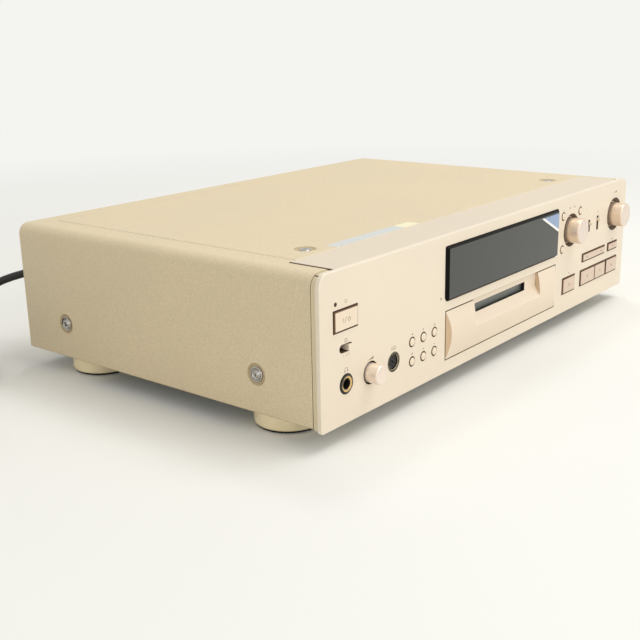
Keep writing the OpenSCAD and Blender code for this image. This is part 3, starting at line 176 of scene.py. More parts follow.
PANEL = finish("panel_satin", "E9DBC6", 0.42, 0.15, 0.02, 9, 0.04, 0.12, 3500, (1, 1, 1), 0.12)
STRIP = finish("panel_strip", "DDCEB8", 0.45, 0.1, 0.02, 9)
# Dark brown, painted shade for the gaps and holes in the front
GAP_SHADE = finish("gap_shade", "5C4733", 0.6, 0.0, 0.08, 60, 0.05, 0.15, 1800)
# Dark brown for the keys' walls, painted shade for the gaps round the keys
KEY_SIDE_SHADE = finish("key_side_shade", "78593F", 0.55, 0.0, 0.06, 60, 0.05, 0.12, 2500)
SUB = finish("panel_plastic", "D9C9A6", 0.5, 0.0, 0.03, 20)
COVER = finish("cover_paint", "E6D4B1", 0.6, 0.1, 0.035, 10, 0.06, 0.9, 2200, (1, 1, 1), 0.2, 0.85)
# A darker copy of the cover paint, painted shade on the slopes of the screw dishes
DISH = finish("cover_dish_shade", "C2AC86", 0.6, 0.1, 0.035, 10, 0.06, 0.9, 2200, (1, 1, 1), 0.2, 0.85)
REAR_PAINT = finish("rear_paint", "CDBB96", 0.6, 0.1, 0.03, 10, 0.06, 0.7, 2200, (1, 1, 1), 0.2, 0.4)
BUTTON = finish("button_gold", "EBD9C1", 0.45, 0.1, 0.02, 30, 0.04, 0.1, 4000, (1, 1, 1), 0.3)
KEY = finish("key_gold", "D9C3AF", 0.42, 0.1, 0.02, 30, 0.04, 0.1, 4000, (1, 1, 1), 0.4)
BEZEL = finish("bezel_gold", "E9D8C1", 0.42, 0.15, 0.02, 14, 0.04, 0.1, 4000, (1, 1, 1), 0.25)
KNOB_SIDE = finish("knob_side", "E8D3BD", 0.36, 0.75, 0.015, 60, 0.015, 0.12, 2500, (0.15, 1, 0.15))
WELL = finish("knob_well", "D9C2A0", 0.5, 0.1, 0.03, 60, 0.04, 0.1, 3000)
KNOB_FACE = finish("knob_face", "E2D2C4", 0.42, 0.1, 0.02, 60, 0.04, 0.1, 3000)
PALE_FACE = finish("knob_pale_face", "EADACA", 0.42, 0.1, 0.02, 60, 0.04, 0.08, 3000)
BEZEL_SHADE = finish("bezel_shade", "CFB08E", 0.42, 0.15, 0.02, 14, 0.04, 0.1, 4000, (1, 1, 1), 0.5)
PALE = finish("knob_pale", "F0E0D0", 0.3, 0.45, 0.015, 60, 0.015, 0.08, 4000)
WINDOW = finish("window_smoke", "2A2B29", 0.09, 0.0, 0.1, 8, 0.03, 0.02, 300, specular=0.6)
# Near black and nearly without gloss, painted shade for the dark inside seen through the window's bevels
WINDOW_EDGE_SHADE = finish("window_edge_shade", "080706", 0.45, 0.0, 0.1, 30, 0.05, 0.02, 900, specular=0.1)
# Dark plastic, also used in the slot's mouth as painted shade
DARK = finish("dark_plastic", "1E1C19", 0.5, 0.0, 0.12, 40, 0.08, 0.3, 1200)
RUBBER = finish("black_rubber", "191817", 0.75, 0.0, 0.15, 60, 0.08, 0.5, 900)
CORD = finish("cord_rubber", "151413", 0.55, 0.0, 0.15, 40, 0.1, 0.35, 700)
CHROME = finish("chrome", "B4B0AA", 0.16, 1.0, 0.06, 200, 0.06, 0.05, 3000)
BRASS = finish("gold_plate", "DDBB80", 0.25, 1.0, 0.04, 200, 0.06, 0.05, 3000)
STEEL = finish("bare_steel", "B9BCBE", 0.38, 0.9, 0.08, 25, 0.1, 0.2, 700)
ZINC = finish("zinc_sheet", "B4B7B8", 0.45, 0.85, 0.16, 90, 0.14, 0.2, 900)
BOARD = finish("board_green", "2A5A38", 0.45, 0.0, 0.12, 60, 0.1, 0.3, 700)
COPPER = finish("transformer_core", "5D5148", 0.5, 0.4, 0.15, 60, 0.1, 0.4, 900, (1, 1, 30))
CAN = finish("capacitor_sleeve", "2B3A56", 0.35, 0.0, 0.08, 60)
FIN = finish("black_fins", "8F9294", 0.45, 0.8, 0.08, 60, 0.1, 0.3, 900, (1, 1, 12))
RIBBON = finish("ribbon_grey", "D5D6D2", 0.5, 0.0, 0.08, 30, 0.05, 0.6, 500, (12, 0.4, 0.4))
DOOR = finish("door_grey", "6E716C", 0.4, 0.3, 0.08, 40, 0.08, 0.15, 2500, (0.2, 1, 3))
TUBE = finish("display_glass", "3C4A47", 0.15, 0.0, 0.1, 20)
# The feet's champagne gold, raised near white as a painted highlight for the bright floor they reflect
FOOT = finish("foot_gold_and_sheen", "FFEDC4", 0.35, 0.15, 0.015, 20, 0.02, 0.06, 3500)
PRINT = finish("panel_print", "8C7C66", 0.6, 0.0, 0.06, 200)
REC_DOT = finish("record_print", "C06A60", 0.6, 0.0, 0.06, 200)
LED = finish("lamp_dark", "3A1512", 0.15, 0.0, 0.1, 300)
LABEL = finish("label_foil", "CFD1CE", 0.35, 0.25, 0.05, 300, 0.08, 0.2, 900)
LABEL_END = finish("label_end", "EFE8C0", 0.35, 0.0, 0.02, 60, 0.05, 0.1, 900)
STRAP = finish("strap_weave", "2A2926", 0.85, 0.0, 0.15, 80, 0.06, 0.8, 1400)
STICKER = finish("sticker_blue", "8FA3C4", 0.3, 0.0, 0.1, 120, 0.05, 0.05, 900)
WHITE = finish("sticker_white", "F2F1EC", 0.35, 0.0, 0.02, 60)
NICKEL = finish("ring_gold", "C4B291", 0.3, 0.6, 0.06, 200, 0.08, 0.1, 2500)
RED_RING = finish("socket_red", "A8322A", 0.4, 0.0, 0.05, 100)
PALE_RING = finish("socket_white", "E6E4DC", 0.4, 0.0, 0.03, 100)


# ---- mesh helpers ----------------------------------------------------------

def at(x, v, d):
    """A point on the front: x from the centre, v below the top, d behind the front face, in mm."""
    return Vector((x, FRONT + d, Z_TOP - v))


def place(obj, body, replaces=()):
    """Puts a piece in the scene, on its body, in place of the nodes that it replaces."""
    SCENE.collection.objects.link(obj)
    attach(obj, body)
    if replaces:
        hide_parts(*replaces)
    return obj


def shaded(mesh, angle):
    """Smooth faces, with sharp edges where two faces meet at more than the angle."""
    for p in mesh.polygons:
        p.use_smooth = True
    mesh.set_sharp_from_angle(angle=math.radians(angle))


def from_bmesh(name, bm, mats, angle):
    """An object made of the mesh bm, with its faces turned outward."""
    bmesh.ops.recalc_face_normals(bm, faces=bm.faces)
    mesh = bpy.data.meshes.new(name)
    bm.to_mesh(mesh)
    bm.free()
    for m in mats:
        mesh.materials.append(m)
    shaded(mesh, angle)
    return bpy.data.objects.new(name, mesh)


def middle(face):
    """A face's middle, in mm."""
    return face.calc_center_median() / MM


# Edges sharper than this many degrees may be rounded
SHARP = 28


def refine(node, mats, bevels, body, name, paint=None, crease=34, split=None):
    """A copy of a CAD node's mesh with its sharp edges rounded. bevels is a list of (width in mm,
    segments, test of an edge's middle point), paint gives a face's material, and split picks
    narrow bent faces to cut up."""
    bm = bmesh.new()
    bm.from_mesh(NODES[node].data)
    bmesh.ops.remove_doubles(bm, verts=bm.verts, dist=2e-6)
    bmesh.ops.dissolve_limit(bm, angle_limit=math.radians(0.7), verts=bm.verts, edges=bm.edges)
    if split:
        bmesh.ops.triangulate(bm, faces=[f for f in bm.faces if len(f.verts) > 20 and split(f)],
                              ngon_method="EAR_CLIP")
    # The bevel faces are marked for the painted highlight and wear in their finish
    edge = bm.faces.layers.float.new("edge")
    for width, segments, test in bevels:
        chosen = []
        for e in bm.edges:
            if len(e.link_faces) == 2 and e.calc_face_angle(0) > math.radians(SHARP):
                mid = (e.verts[0].co + e.verts[1].co) / 2 / MM
                if test(mid):
                    chosen.append(e)
        if chosen:
            done = bmesh.ops.bevel(bm, geom=chosen, offset=width * MM, segments=segments, profile=0.5,
                                   affect="EDGES", clamp_overlap=False)
            for f in done["faces"]:
                f[edge] = 1
    bm.normal_update()
    if paint:
        for f in bm.faces:
            f.material_index = paint(f)
    mesh = bpy.data.meshes.new(name)
    bm.to_mesh(mesh)
    bm.free()
    for m in mats:
        mesh.materials.append(m)
    shaded(mesh, crease)
    obj = bpy.data.objects.new(name, mesh)
    flat = obj.modifiers.new("flat", "WEIGHTED_NORMAL")
    flat.keep_sharp = True
    return place(obj, body, (node,))


def lathe(name, profile, centre, mats, body, seg=72, axis=(0, -1, 0), bands=None, angle=32,
          replaces=(), loop=False, top=None):
    """A turned piece: profile is (radius, height) points from one end of the axis to the other, or
    round a ring's section when loop is true. bands gives the material of each stretch of the
    profile, and top fills the last row."""
    out = Vector(axis)
    a = Vector((0, 0, 1)) if abs(out.z) < 0.5 else Vector((1, 0, 0))
    b = out.cross(a)
    bm = bmesh.new()
    rows = []
    for r, h in profile:
        if r < 1e-6:
            rows.append([bm.verts.new(out * h * MM)])
        else:
            rows.append([bm.verts.new((a * math.cos(t) * r + b * math.sin(t) * r + out * h) * MM)
                         for t in (2 * math.pi * k / seg for k in range(seg))])
    for i, (low, high) in enumerate(zip(rows, rows[1:] + rows[:1] if loop else rows[1:])):
        for k in range(seg):
            n = (k + 1) % seg
            if len(low) == 1 and len(high) == 1:
                continue
            if len(low) == 1:
                f = bm.faces.new((low[0], high[k], high[n]))
            elif len(high) == 1:
                f = bm.faces.new((low[k], low[n], high[0]))
            else:
                f = bm.faces.new((low[k], low[n], high[n], high[k]))
            f.material_index = bands[i] if bands else 0
    if top:
        top(bm, rows[-1])
    if not loop:
        for row in (rows[0], rows[-1]):
            if len(row) > 1 and not (top and row is rows[-1]):
                bm.faces.new(row)
    obj = from_bmesh(name, bm, mats, angle)
    obj.location = Vector(centre) * MM
    return place(obj, body, replaces)


def prisms(name, outlines, d0, d1, mat, body):
    """Flat printed shapes on the front: each outline is a list of (x, v), from depth d0 to d1."""
    bm = bmesh.new()
    for outline in outlines:
        near = [bm.verts.new(at(x, v, d0) * MM) for x, v in outline]
        far = [bm.verts.new(at(x, v, d1) * MM) for x, v in outline]
        bm.faces.new(near)
        bm.faces.new(far[::-1])
        for k in range(len(outline)):
            n = (k + 1) % len(outline)
            bm.faces.new((near[k], far[k], far[n], near[n]))
    return place(from_bmesh(name, bm, [mat], 20), body)


def disc(x, v, r, n=24):
    """The outline of a disc, in n steps."""
    return [(x + r * math.cos(2 * math.pi * k / n), v + r * math.sin(2 * math.pi * k / n)) for k in range(n)]


def arc(x, v, r, w, a0, a1, n=20):
    """A band w wide round a circle of radius r, from angle a0 to a1 clockwise from the top."""
    out = []
    for radius, turn in ((r + w / 2, range(n + 1)), (r - w / 2, range(n, -1, -1))):
        for k in turn:
            t = math.radians(a0 + (a1 - a0) * k / n)
            out.append((x + radius * math.sin(t), v - radius * math.cos(t)))
    return out


def bar(x0, v0, x1, v1, w):
    """A straight stroke w wide."""
    dx, dv = x1 - x0, v1 - v0
    n = math.hypot(dx, dv)
    px, pv = -dv / n * w / 2, dx / n * w / 2
    return [(x0 + px, v0 + pv), (x1 + px, v1 + pv), (x1 - px, v1 - pv), (x0 - px, v0 - pv)]


def arrow(x, v, w, h, way=1):
    """A triangle that points to the right, or to the left when way is -1."""
    return [(x - way * w / 2, v - h / 2), (x + way * w / 2, v), (x - way * w / 2, v + h / 2)]


# ---- mains cord ------------------------------------------------------------

# The cord's thickness, then the coil's middle, outer radius, pitch, turns, height and steps a turn
CORD_D = 6.2
COIL_C = (-292.0, 162.0)
COIL_R, COIL_PITCH, COIL_TURNS, COIL_Z, COIL_STEPS = 50.2, 6.8, 6.25, 3.2, 24
LEAD = [(-182, 165, 60), (-182, 172, 60), (-184, 179, 59.1), (-187.2, 184, 57.6), (-192, 190.2, 55.4),
        (-199, 196, 52.4), (-209, 202, 47), (-221, 206.8, 39.4), (-234, 210.2, 29.8), (-246, 212, 20.4),
        (-257, 212.2, 12.2), (-267, 212.2, 6.2), (-277, 212.2, 3.2), (-285.8, 212.2, 3.2)]
TAIL = [(6.2, 10), (14, 10), (26, 7.2), (38, 4), (50, 3.2), (62, 4.4), (74, 6.6), (83, 6.6)]


def coil_point(turn):
    """A point of the coil, which winds inward, rises one layer halfway, and winds outward again."""
    r = COIL_R - COIL_PITCH * min(turn, COIL_TURNS - turn)
    z = COIL_Z + COIL_PITCH * min(1, max(0, (turn - COIL_TURNS / 2) * 2 + 0.5))
    t = math.radians(90 + 360 * turn)
    return COIL_C[0] + r * math.cos(t), COIL_C[1] + r * math.sin(t), z


def smoothed(points, per=3):
    """The points with a smooth curve through them, in per steps from each to the next."""
    p = [Vector(q) for q in points]
    out = []
    for i in range(len(p) - 1):
        a, b, c, d = p[max(i - 1, 0)], p[i], p[i + 1], p[min(i + 2, len(p) - 1)]
        for k in range(per):
            t = k / per
            out.append(0.5 * (2 * b + (c - a) * t + (2 * a - 5 * b + 4 * c - d) * t * t
                              + (3 * b - a - 3 * c + d) * t ** 3))
    return out + [p[-1]]


route = LEAD + [coil_point(k / COIL_STEPS) for k in range(int(COIL_TURNS * COIL_STEPS) + 1)]
route += [(COIL_C[0] - COIL_R, COIL_C[1] - dy, z) for dy, z in TAIL]
route = [q * MM for q in smoothed(route)]
line = bpy.data.curves.new("mains_cord", "CURVE")
line.dimensions = "3D"
spline = line.splines.new("POLY")
spline.points.add(len(route) - 1)
for q, s in zip(route, spline.points):
    s.co = (*q, 1)
line.bevel_depth = CORD_D / 2 * MM
line.bevel_resolution = 5
line.use_fill_caps = True
line.materials.append(CORD)
cord = place(bpy.data.objects.new("mains_cord", line), "deck", ("power_cord", "cord_coil"))


# ---- casing ----------------------------------------------------------------

def dress(mat, *names):
    """Gives the material to CAD nodes that stay as they are."""
    for name in names:
        NODES[name].data.materials.clear()
        NODES[name].data.materials.append(mat)


# The front plate's lower edge, and the sizes of its upper and lower corners
PLATE_Z, UPPER_CORNER, LOWER_CORNER = 11.8, 8, 2
# A face counts as a wall where its normal points forward by less than this
WALL = 0.93


def front_rim(mid):
    """Edges of the front face's outline."""
    x = abs(mid.x)
    upper = x > HALF_W - UPPER_CORNER - 1 and mid.z > Z_TOP - UPPER_CORNER - 0.1
    lower = x > HALF_W - LOWER_CORNER - 0.1 and mid.z < PLATE_Z + LOWER_CORNER + 0.1
    outer = x > HALF_W - 0.1 or mid.z < PLATE_Z + 0.1 or mid.z > Z_TOP - 0.1
    return mid.y < FRONT + 0.05 and (outer or upper or lower)


def front_holes(mid):
    """Edges of the front face's holes."""
    return mid.y < FRONT + 0.05 and not front_rim(mid)


def within(depth):
    """A test for edges less than this far behind the front face."""
    return lambda mid: mid.y < FRONT + depth


def walled(f):
    """1 for the walls of a key and the bevels round its face, which are painted dark as the shade in the gaps
    round the key.
    """
    return 1 if abs(f.normal.y) < WALL else 0


def plate_paint(f):
    """1 on the walls of the plate's holes, painted dark as the shade in the gaps."""
    c = middle(f)
    rim = abs(c.x) > 213.5 or c.z < 13 or c.z > 106.6 or (abs(c.x) > 205 and c.z > 98)
    return 1 if abs(f.normal.y) < 0.97 and not rim else 0


def backing_paint(f):
    """0 on the sub panel's outer rim, and 1 on what shows through the plate's holes, painted dark as shade.
    """
    c = middle(f)
    rim = abs(c.x) > 210.6 or c.z < 13.2 or c.z > 105.9
    return 0 if rim else 1


def strip_ends(mid):
    return mid.z > Z_TOP - 0.1 and abs(mid.x) > 190


def strip_back(mid):
    return mid.z > Z_TOP - 0.1 and mid.y > FRONT + 9


def backing_rim(mid):
    return mid.y < FRONT + 7.1 and (abs(mid.x) > 211 or mid.z < 14 or mid.z > 106)


def cover_step(mid):
    """Edges of the cover's raised middle."""
    return mid.z > Z_TOP - 0.6 and abs(mid.x) < 192 and mid.y < 130


def cover_hem(mid):
    """Edges along the cover's sides at the bottom."""
    return abs(abs(mid.x) - 214) < 1.3 and mid.z < 15


# Radius of the dish round a cover screw
DISH_R = 8


def cover_paint(f):
    """1 on the slopes of the screw dishes, painted darker as the shade in the dishes."""
    c = middle(f)
    far = min(math.hypot(c.y - FRONT - y, c.z - SIDE_SCREW_Z) for y in SIDE_SCREW_Y)
    beside = far < DISH_R and abs(c.x) > HALF_W - 2.5
    above = math.hypot(abs(c.x) - TOP_SCREW_X, c.y - FRONT - TOP_SCREW_Y) < DISH_R and c.z > Z_TOP - 1.5
    slope = abs(f.normal.x) if beside else abs(f.normal.z)
    return 1 if (beside or above) and 0.3 < slope < 0.97 else 0


refine("front_panel", [PANEL, GAP_SHADE], [(0.6, 3, front_rim), (0.26, 2, front_holes)], "deck", "panel_plate",
       paint=plate_paint)
# The strip's end faces are painted dark, as the shade in the gaps at its ends
refine("top_return", [STRIP, GAP_SHADE], [(0.45, 2, strip_ends), (0.2, 2, strip_back)], "deck", "panel_return",
       paint=lambda f: 1 if abs(f.normal.x) > 0.3 else 0)
refine("front_sub_panel", [SUB, GAP_SHADE], [(0.4, 2, backing_rim)], "deck", "panel_backing",
       paint=backing_paint)
refine("top_cover", [COVER, DISH], [(0.45, 3, cover_step), (0.3, 2, cover_hem)], "deck", "cover_shell",
       paint=cover_paint, crease=14, split=lambda f: abs(f.normal.y) > 0.99)
refine("rear_panel", [REAR_PAINT], [], "deck", "rear_plate")


def bezel_paint(f):
    """1 on the outer walls and 2 in the slot's mouth, both painted dark as shade, and 3 on the bevels that
    face left, painted a darker shade.
    """
    c = middle(f)
    rim = abs(c.x) > 80.9 or not 22.2 < c.z < 54.4
    if rim and abs(f.normal.y) < WALL:
        return 1
    if c.y > FRONT + 3.2:
        return 2
    return 3 if f.normal.x < -0.12 else 0


refine("slot_bezel", [BEZEL, GAP_SHADE, DARK, BEZEL_SHADE], [(0.25, 2, within(1.9))], "deck", "slot_surround",
       paint=bezel_paint)
# The window's bevels and walls take the near-black edge colour, painted shade
refine("display_window", [WINDOW, WINDOW_EDGE_SHADE], [(0.2, 2, within(-1.0))], "deck",
       "window_pane", paint=lambda f: 0 if f.normal.y < -0.995 else 1)

FOOT_SHAPE = [(6, 5), (13.5, 5), (15.9, 1.5), (21, 1.5), (21.7, 1.7), (22.2, 2.3), (22.5, 3.4), (22.5, 11.6),
              (22.3, 12.6), (21.7, 13.5), (20.8, 14), (19, 14.2), (1.8, 14.2), (1.8, 7), (6, 7)]
PAD_SHAPE = [(16.1, 0), (20.5, 0), (20.9, 0.4), (20.9, 1.5), (16.1, 1.5)]
FOOT_X, FOOT_Y = 186.3, (49.5, 231)
feet = [(sx * FOOT_X, FRONT + y) for sx in (-1, 1) for y in FOOT_Y]
for k, (x, y) in enumerate(feet):
    lathe(f"foot_{k + 1}", FOOT_SHAPE, (x, y, 0), [FOOT], "deck", 96, (0, 0, 1), loop=True,
          replaces=("feet",) if k == 0 else ())
    lathe(f"foot_pad_{k + 1}", PAD_SHAPE, (x, y, 0), [RUBBER], "deck", 64, (0, 0, 1), loop=True,
          replaces=("foot_pads",) if k == 0 else ())


# The cross in a screw's head: arm, half width, depth and the floor's share of the mouth
CROSS_ARM, CROSS_HALF, CROSS_DEPTH, TAPER = 1.15, 0.36, 0.8, 0.75


def cross_recess(bm, rim, out, height, depth):
    """Fills the ring of vertices rim round a cross-shaped recess, whose walls and floor it makes."""
    a = Vector((0, 0, 1)) if abs(out.z) < 0.5 else Vector((1, 0, 0))
    b = out.cross(a)
    arm, half = CROSS_ARM, CROSS_HALF
    plan = []
    for q in range(4):
        t = math.pi / 2 * q + 0.3
        for u, w in ((half, -half), (arm, -half), (arm, half)):
            plan.append((u * math.cos(t) - w * math.sin(t), u * math.sin(t) + w * math.cos(t)))
    order = sorted(range(12), key=lambda i: math.atan2(plan[i][1], plan[i][0]))
    plan = [plan[i] for i in order]
    top = [bm.verts.new((a * p + b * q + out * height) * MM) for p, q in plan]
    low = [bm.verts.new((a * p * TAPER + b * q * TAPER + out * (height - depth)) * MM)
           for p, q in plan]
    edges = []
    for ring in (rim, top):
        for k in range(len(ring)):
            pair = (ring[k], ring[(k + 1) % len(ring)])
            edges.append(bm.edges.get(pair) or bm.edges.new(pair))
    bmesh.ops.triangle_fill(bm, use_beauty=True, edges=edges)
    for k in range(12):
        n = (k + 1) % 12
        bm.faces.new((top[k], top[n], low[n], low[k]))
    bm.faces.new(low)


HEAD = [(0, -6), (1.5, -6), (1.5, 0), (5, 0), (5, 0.9), (4.85, 1.3), (4.5, 1.5), (4.1, 1.4), (3.9, 0.9),
        (3.7, 0.85), (3.5, 1.0), (3.3, 1.5), (2.9, 1.7), (2.5, 1.5), (2.3, 1.3), (2.1, 1.45), (1.8, 1.75),
        (1.5, 1.8)]
LOW_HEAD = [(r if r <= 1.5 else r * 0.8, h if h <= 0 else h * 0.5) for r, h in HEAD]
REAR_HEAD = [(0, -7), (1.5, -7), (1.5, 0), (2.8, 0), (2.8, 0.8), (2.65, 1.3), (2.2, 1.55), (1.6, 1.6)]
FOOT_HEAD = [(0, 20), (1.5, 20), (1.5, 7), (3.6, 7), (3.6, 5.4), (3.2, 5), (1.6, 5)]
screws = []
for sx in (-1, 1):
    for y in SIDE_SCREW_Y:
        screws.append((HEAD, (sx * (HALF_W - 2), FRONT + y, SIDE_SCREW_Z), (sx, 0, 0)))
    screws.append((LOW_HEAD, (sx * TOP_SCREW_X, FRONT + TOP_SCREW_Y, Z_TOP - 1), (0, 0, 1)))
for x in (-150, 0, 150):
    screws.append((REAR_HEAD, (x, REAR, Z_TOP - 5), (0, 1, 0)))
for x, y in feet:
    screws.append((FOOT_HEAD, (x, y, 0), (0, 0, 1)))
for k, (shape, where, way) in enumerate(screws):
    out = Vector(way)
    down = shape[0][1] > shape[-1][1]
    lathe(f"screw_{k + 1}", shape, where, [CHROME], "deck", 40, way, angle=40,
          replaces=("case_screws",) if k == 0 else (),
          top=lambda bm, rim, o=out, s=shape, d=down: cross_recess(
              bm, rim, o, s[-1][1], -CROSS_DEPTH if d else CROSS_DEPTH))


def patch(name, outline, mat):
    """A piece of the plain pale label on the cover, just behind the top return."""
    bm = bmesh.new()
    rows = [[bm.verts.new(Vector((x, FRONT + y, z)) * MM) for x, y in outline] for z in LABEL_Z]
    bm.faces.new(rows[0][::-1])
    bm.faces.new(rows[1])
    for k in range(len(outline)):
        n = (k + 1) % len(outline)
        bm.faces.new((rows[0][k], rows[0][n], rows[1][n], rows[1][k]))
    return place(from_bmesh(name, bm, [mat], 20), "deck")


LABEL_Z = (Z_TOP - 0.01, Z_TOP + 0.04)
patch("label_plain", [(-150.3, 36.9), (-76, 36.9), (-76, 46.6), (-149.6, 46.6), (-150.3, 45.9)], LABEL)
patch("label_blank_end", [(-75.7, 36.9), (-57.8, 36.9), (-57.8, 45.9), (-58.5, 46.6), (-75.7, 46.6)],
      LABEL_END)


# ---- display, slot and buttons ---------------------------------------------

prisms("window_sticker_edge", [[(51.2, 10.6), (80.1, 10.6), (80.1, 24.8), (79.2, 24.8)]], -1.88, -1.95,
       WHITE, "deck")
prisms("window_sticker", [[(54.8, 10.6), (80.1, 10.6), (80.1, 22.9)]], -1.94, -2.0, STICKER, "deck")

# The keys' walls and bevels take the dark key-side colour, painted shade for the gaps round them
for node, body in [("power_button", "power"), ("rec_button", "rec"), ("play_button", "play"),
                   ("pause_button", "pause"), ("stop_button", "stop"), ("eject_button", "eject"),
                   ("search_rocker", "search")]:
    refine(node, [BUTTON if body == "power" else KEY, KEY_SIDE_SHADE], [(0.22, 2, within(0.1))], body,
           node.split("_")[0] + "_key", paint=walled)

ROUND = [(0, -9.8), (1.6, -9.8), (1.6, -8.5), (3.6, -8.5), (3.6, -7.3), (2.6, -7.3), (2.6, 0.15),
         (2.52, 0.38), (2.32, 0.58), (2.0, 0.74), (1.5, 0.88), (0.8, 0.97), (0, 1.0)]
# The caps' sides take the dark key-side colour, painted shade for the gaps round them
CAP_BANDS = [1] * 6 + [0] * 6
function_buttons = [(FUNCTION_X + (k % 3 - 1) * FUNCTION_DX, FUNCTION_V + (-1 if k < 3 else 1) * FUNCTION_DV)
                    for k in range(6)]
for group, places in (("function", function_buttons), ("small", SMALL_BUTTONS)):
    for k, (x, v) in enumerate(places):
        lathe(f"{group}_cap_{k + 1}", ROUND, at(x, v, 0), [BUTTON, KEY_SIDE_SHADE], f"{group}_{k + 1}", 48,
              bands=CAP_BANDS, replaces=(f"{group}_button_{k + 1}",))


def knob_shape(r, l, back, end):
    """The section of a knob of radius r and length l with its hub and shaft, from the shaft's end."""
    return [(0, -end), (2.8, -end), (3, -end + 0.3), (3, -back), (4.2, -back), (4.2, l - 4), (r - 1.6, l - 4),
            (r - 1.6, -back), (r - 0.15, -back), (r, -back + 0.2), (r, l - 1.0), (r - 0.1, l - 0.6),
            (r - 0.35, l - 0.25), (r - 0.8, l), (r - 1.15, l), (r - 1.6, l - 0.14), (0, l - 0.14)]


# From the front face to a knob shaft's end: the board's place, its thickness, a gap and the shaft's hold
SHAFT_END = 14 + 1.6 + 0.4 + 6
KNOB_BANDS = [0] * 13 + [1] * 3


def knob_well(name, x, ring_r):
    """The pale floor of the ring round a knob, with painted shade at its left end."""
    inner, outer = KNOB_R + 0.15, ring_r - 0.5
    profile = [(inner, -2.9), (outer, -2.9), (outer, -2.65), (inner, -2.75)]
    well = lathe(name, profile, at(x, KNOB_V, 0), [WELL, GAP_SHADE], "deck", 72, loop=True)
    for face in well.data.polygons:
        # The faces at the left end are painted dark as shade
        face.material_index = 1 if face.center.x < (0.5 - KNOB_R) * MM else 0


knob_well("jog_well", JOG_X, 13.4)
knob_well("rec_level_well", REC_LEVEL_X, 14.2)
lathe("jog_cap", knob_shape(KNOB_R, 10.5, 1.6, SHAFT_END), at(JOG_X, KNOB_V, 0), [KNOB_SIDE, KNOB_FACE],
      "jog", 128, bands=KNOB_BANDS, replaces=("jog_knob",))
lathe("rec_level_cap", knob_shape(KNOB_R, 10.5, 2.2, SHAFT_END), at(REC_LEVEL_X, KNOB_V, 0),
      [KNOB_SIDE, KNOB_FACE], "rec_level", 128, bands=KNOB_BANDS, replaces=("rec_level_knob",))
lathe("phone_level_cap", knob_shape(PHONE_KNOB_R, 8.8, 2.2, SHAFT_END), at(PHONE_LEVEL_X, SOCKET_V, 0),
      [PALE, PALE_FACE], "phone_level", 96, bands=KNOB_BANDS, replaces=("phone_level_knob",))

for lever, width in (("timer", 0.25), ("input", 0.2), ("mode", 0.2)):
    refine(f"{lever}_lever", [BUTTON], [(width, 2, within(0.2))], lever, f"{lever}_tip")

# Sockets on the front
FUNNEL = [(5.8, 0.05), (5.8, 0.45), (5.65, 0.7), (5.3, 0.82), (4.95, 0.8), (4.85, 0.6), (4.5, 0.52),
          (4.0, 0.34), (3.6, 0.2), (3.35, 0.05)]
lathe("phones_trim", FUNNEL, at(PHONES_X, SOCKET_V, 0), [BRASS, DARK], "deck", 64,
      bands=[1] * 5 + [0] * 4 + [1], loop=True)


def socket_paint(f):
    """1 on the ring round the keyboard socket."""
    c = middle(f)
    r = math.hypot(c.x - KEYBOARD_X, c.z - (Z_TOP - SOCKET_V))
    return 1 if r > 4.85 and c.y < FRONT + 0.3 else 0


refine("keyboard_socket", [DARK, NICKEL], [(0.25, 2, within(0.2))], "deck", "keyboard_trim",
       paint=socket_paint)
lathe("standby_lamp", [(0, -1), (1, -1), (1, 0.05), (0.85, 0.25), (0.5, 0.38), (0, 0.42)],
      at(-200.3, 19.8, 0), [LED], "deck", 24)

# ---- printed marks ---------------------------------------------------------

# Depths of the prints' backs and fronts: on the plate and on the keys
PANEL_PRINT_D, KEY_PRINT_D = (0.02, -0.03), (-0.86, -0.94)


def standby(x, v, s):
    """A broken ring with a stroke in its gap."""
    return [arc(x, v, s, s * 0.3, 35, 325), bar(x, v - s * 1.3, x, v - s * 0.2, s * 0.3)]


def on_key(name, body, outlines, mat=PRINT):
    prisms(name, outlines, *KEY_PRINT_D, mat, body)


on_key("power_mark", "power", [bar(-194.4, 29.1, -194.4, 31.7, 0.35), bar(-192.9, 32.0, -191.3, 28.8, 0.3)]
       + standby(-188.6, 30.6, 1.15))
on_key("search_mark", "search", [arrow(152.8 + s * 14 + s * k * 1.0, 56.4, 1.1, 1.4, s)
                                 for s in (-1, 1) for k in (-0.5, 0.5)])
on_key("rec_mark", "rec", [disc(191, 56.4, 0.75)], REC_DOT)
on_key("play_mark", "play", [arrow(141.8, 73.3, 2.0, 2.2)])
on_key("pause_mark", "pause", [bar(166.0, 72.4, 166.0, 74.2, 0.55), bar(167.2, 72.4, 167.2, 74.2, 0.55)])
on_key("stop_mark", "stop", [bar(189.2, 73.3, 191.0, 73.3, 1.8)])
on_key("eject_mark", "eject", [[(105.4, 73.2), (107.6, 73.2), (106.5, 71.8)],
                               bar(105.4, 74.0, 107.6, 74.0, 0.5)])

marks = [bar(x, 52.0, x, 53.0, 0.3) for x in (-193.7, -191, -188.3)]
marks += [arc(-191, 43.4, 1.2, 0.25, 0, 360, 24), bar(-191, 43.4, -191, 42.5, 0.22),
          bar(-191, 43.4, -190.4, 43.7, 0.22)]
marks += standby(-190.5, 19.8, 0.95)
# Headphones
marks += [arc(-191, 61.9, 1.5, 0.3, -90, 90), bar(-192.4, 61.9, -192.4, 63.1, 0.8),
          bar(-189.6, 61.9, -189.6, 63.1, 0.8)]
# Level wedges
for x, v in ((PHONE_LEVEL_X, 61.3), (REC_LEVEL_X, 9.2)):
    marks.append([(x - 3, v + 0.8), (x + 3, v + 0.8), (x + 3, v - 0.8)])
for x, v, r in ((PHONE_LEVEL_X, SOCKET_V, 8.6), (REC_LEVEL_X, KNOB_V, 16)):
    for t in (-150, 150):
        marks.append(disc(x + r * math.sin(math.radians(t)), v - r * math.cos(math.radians(t)), 0.32, 12))
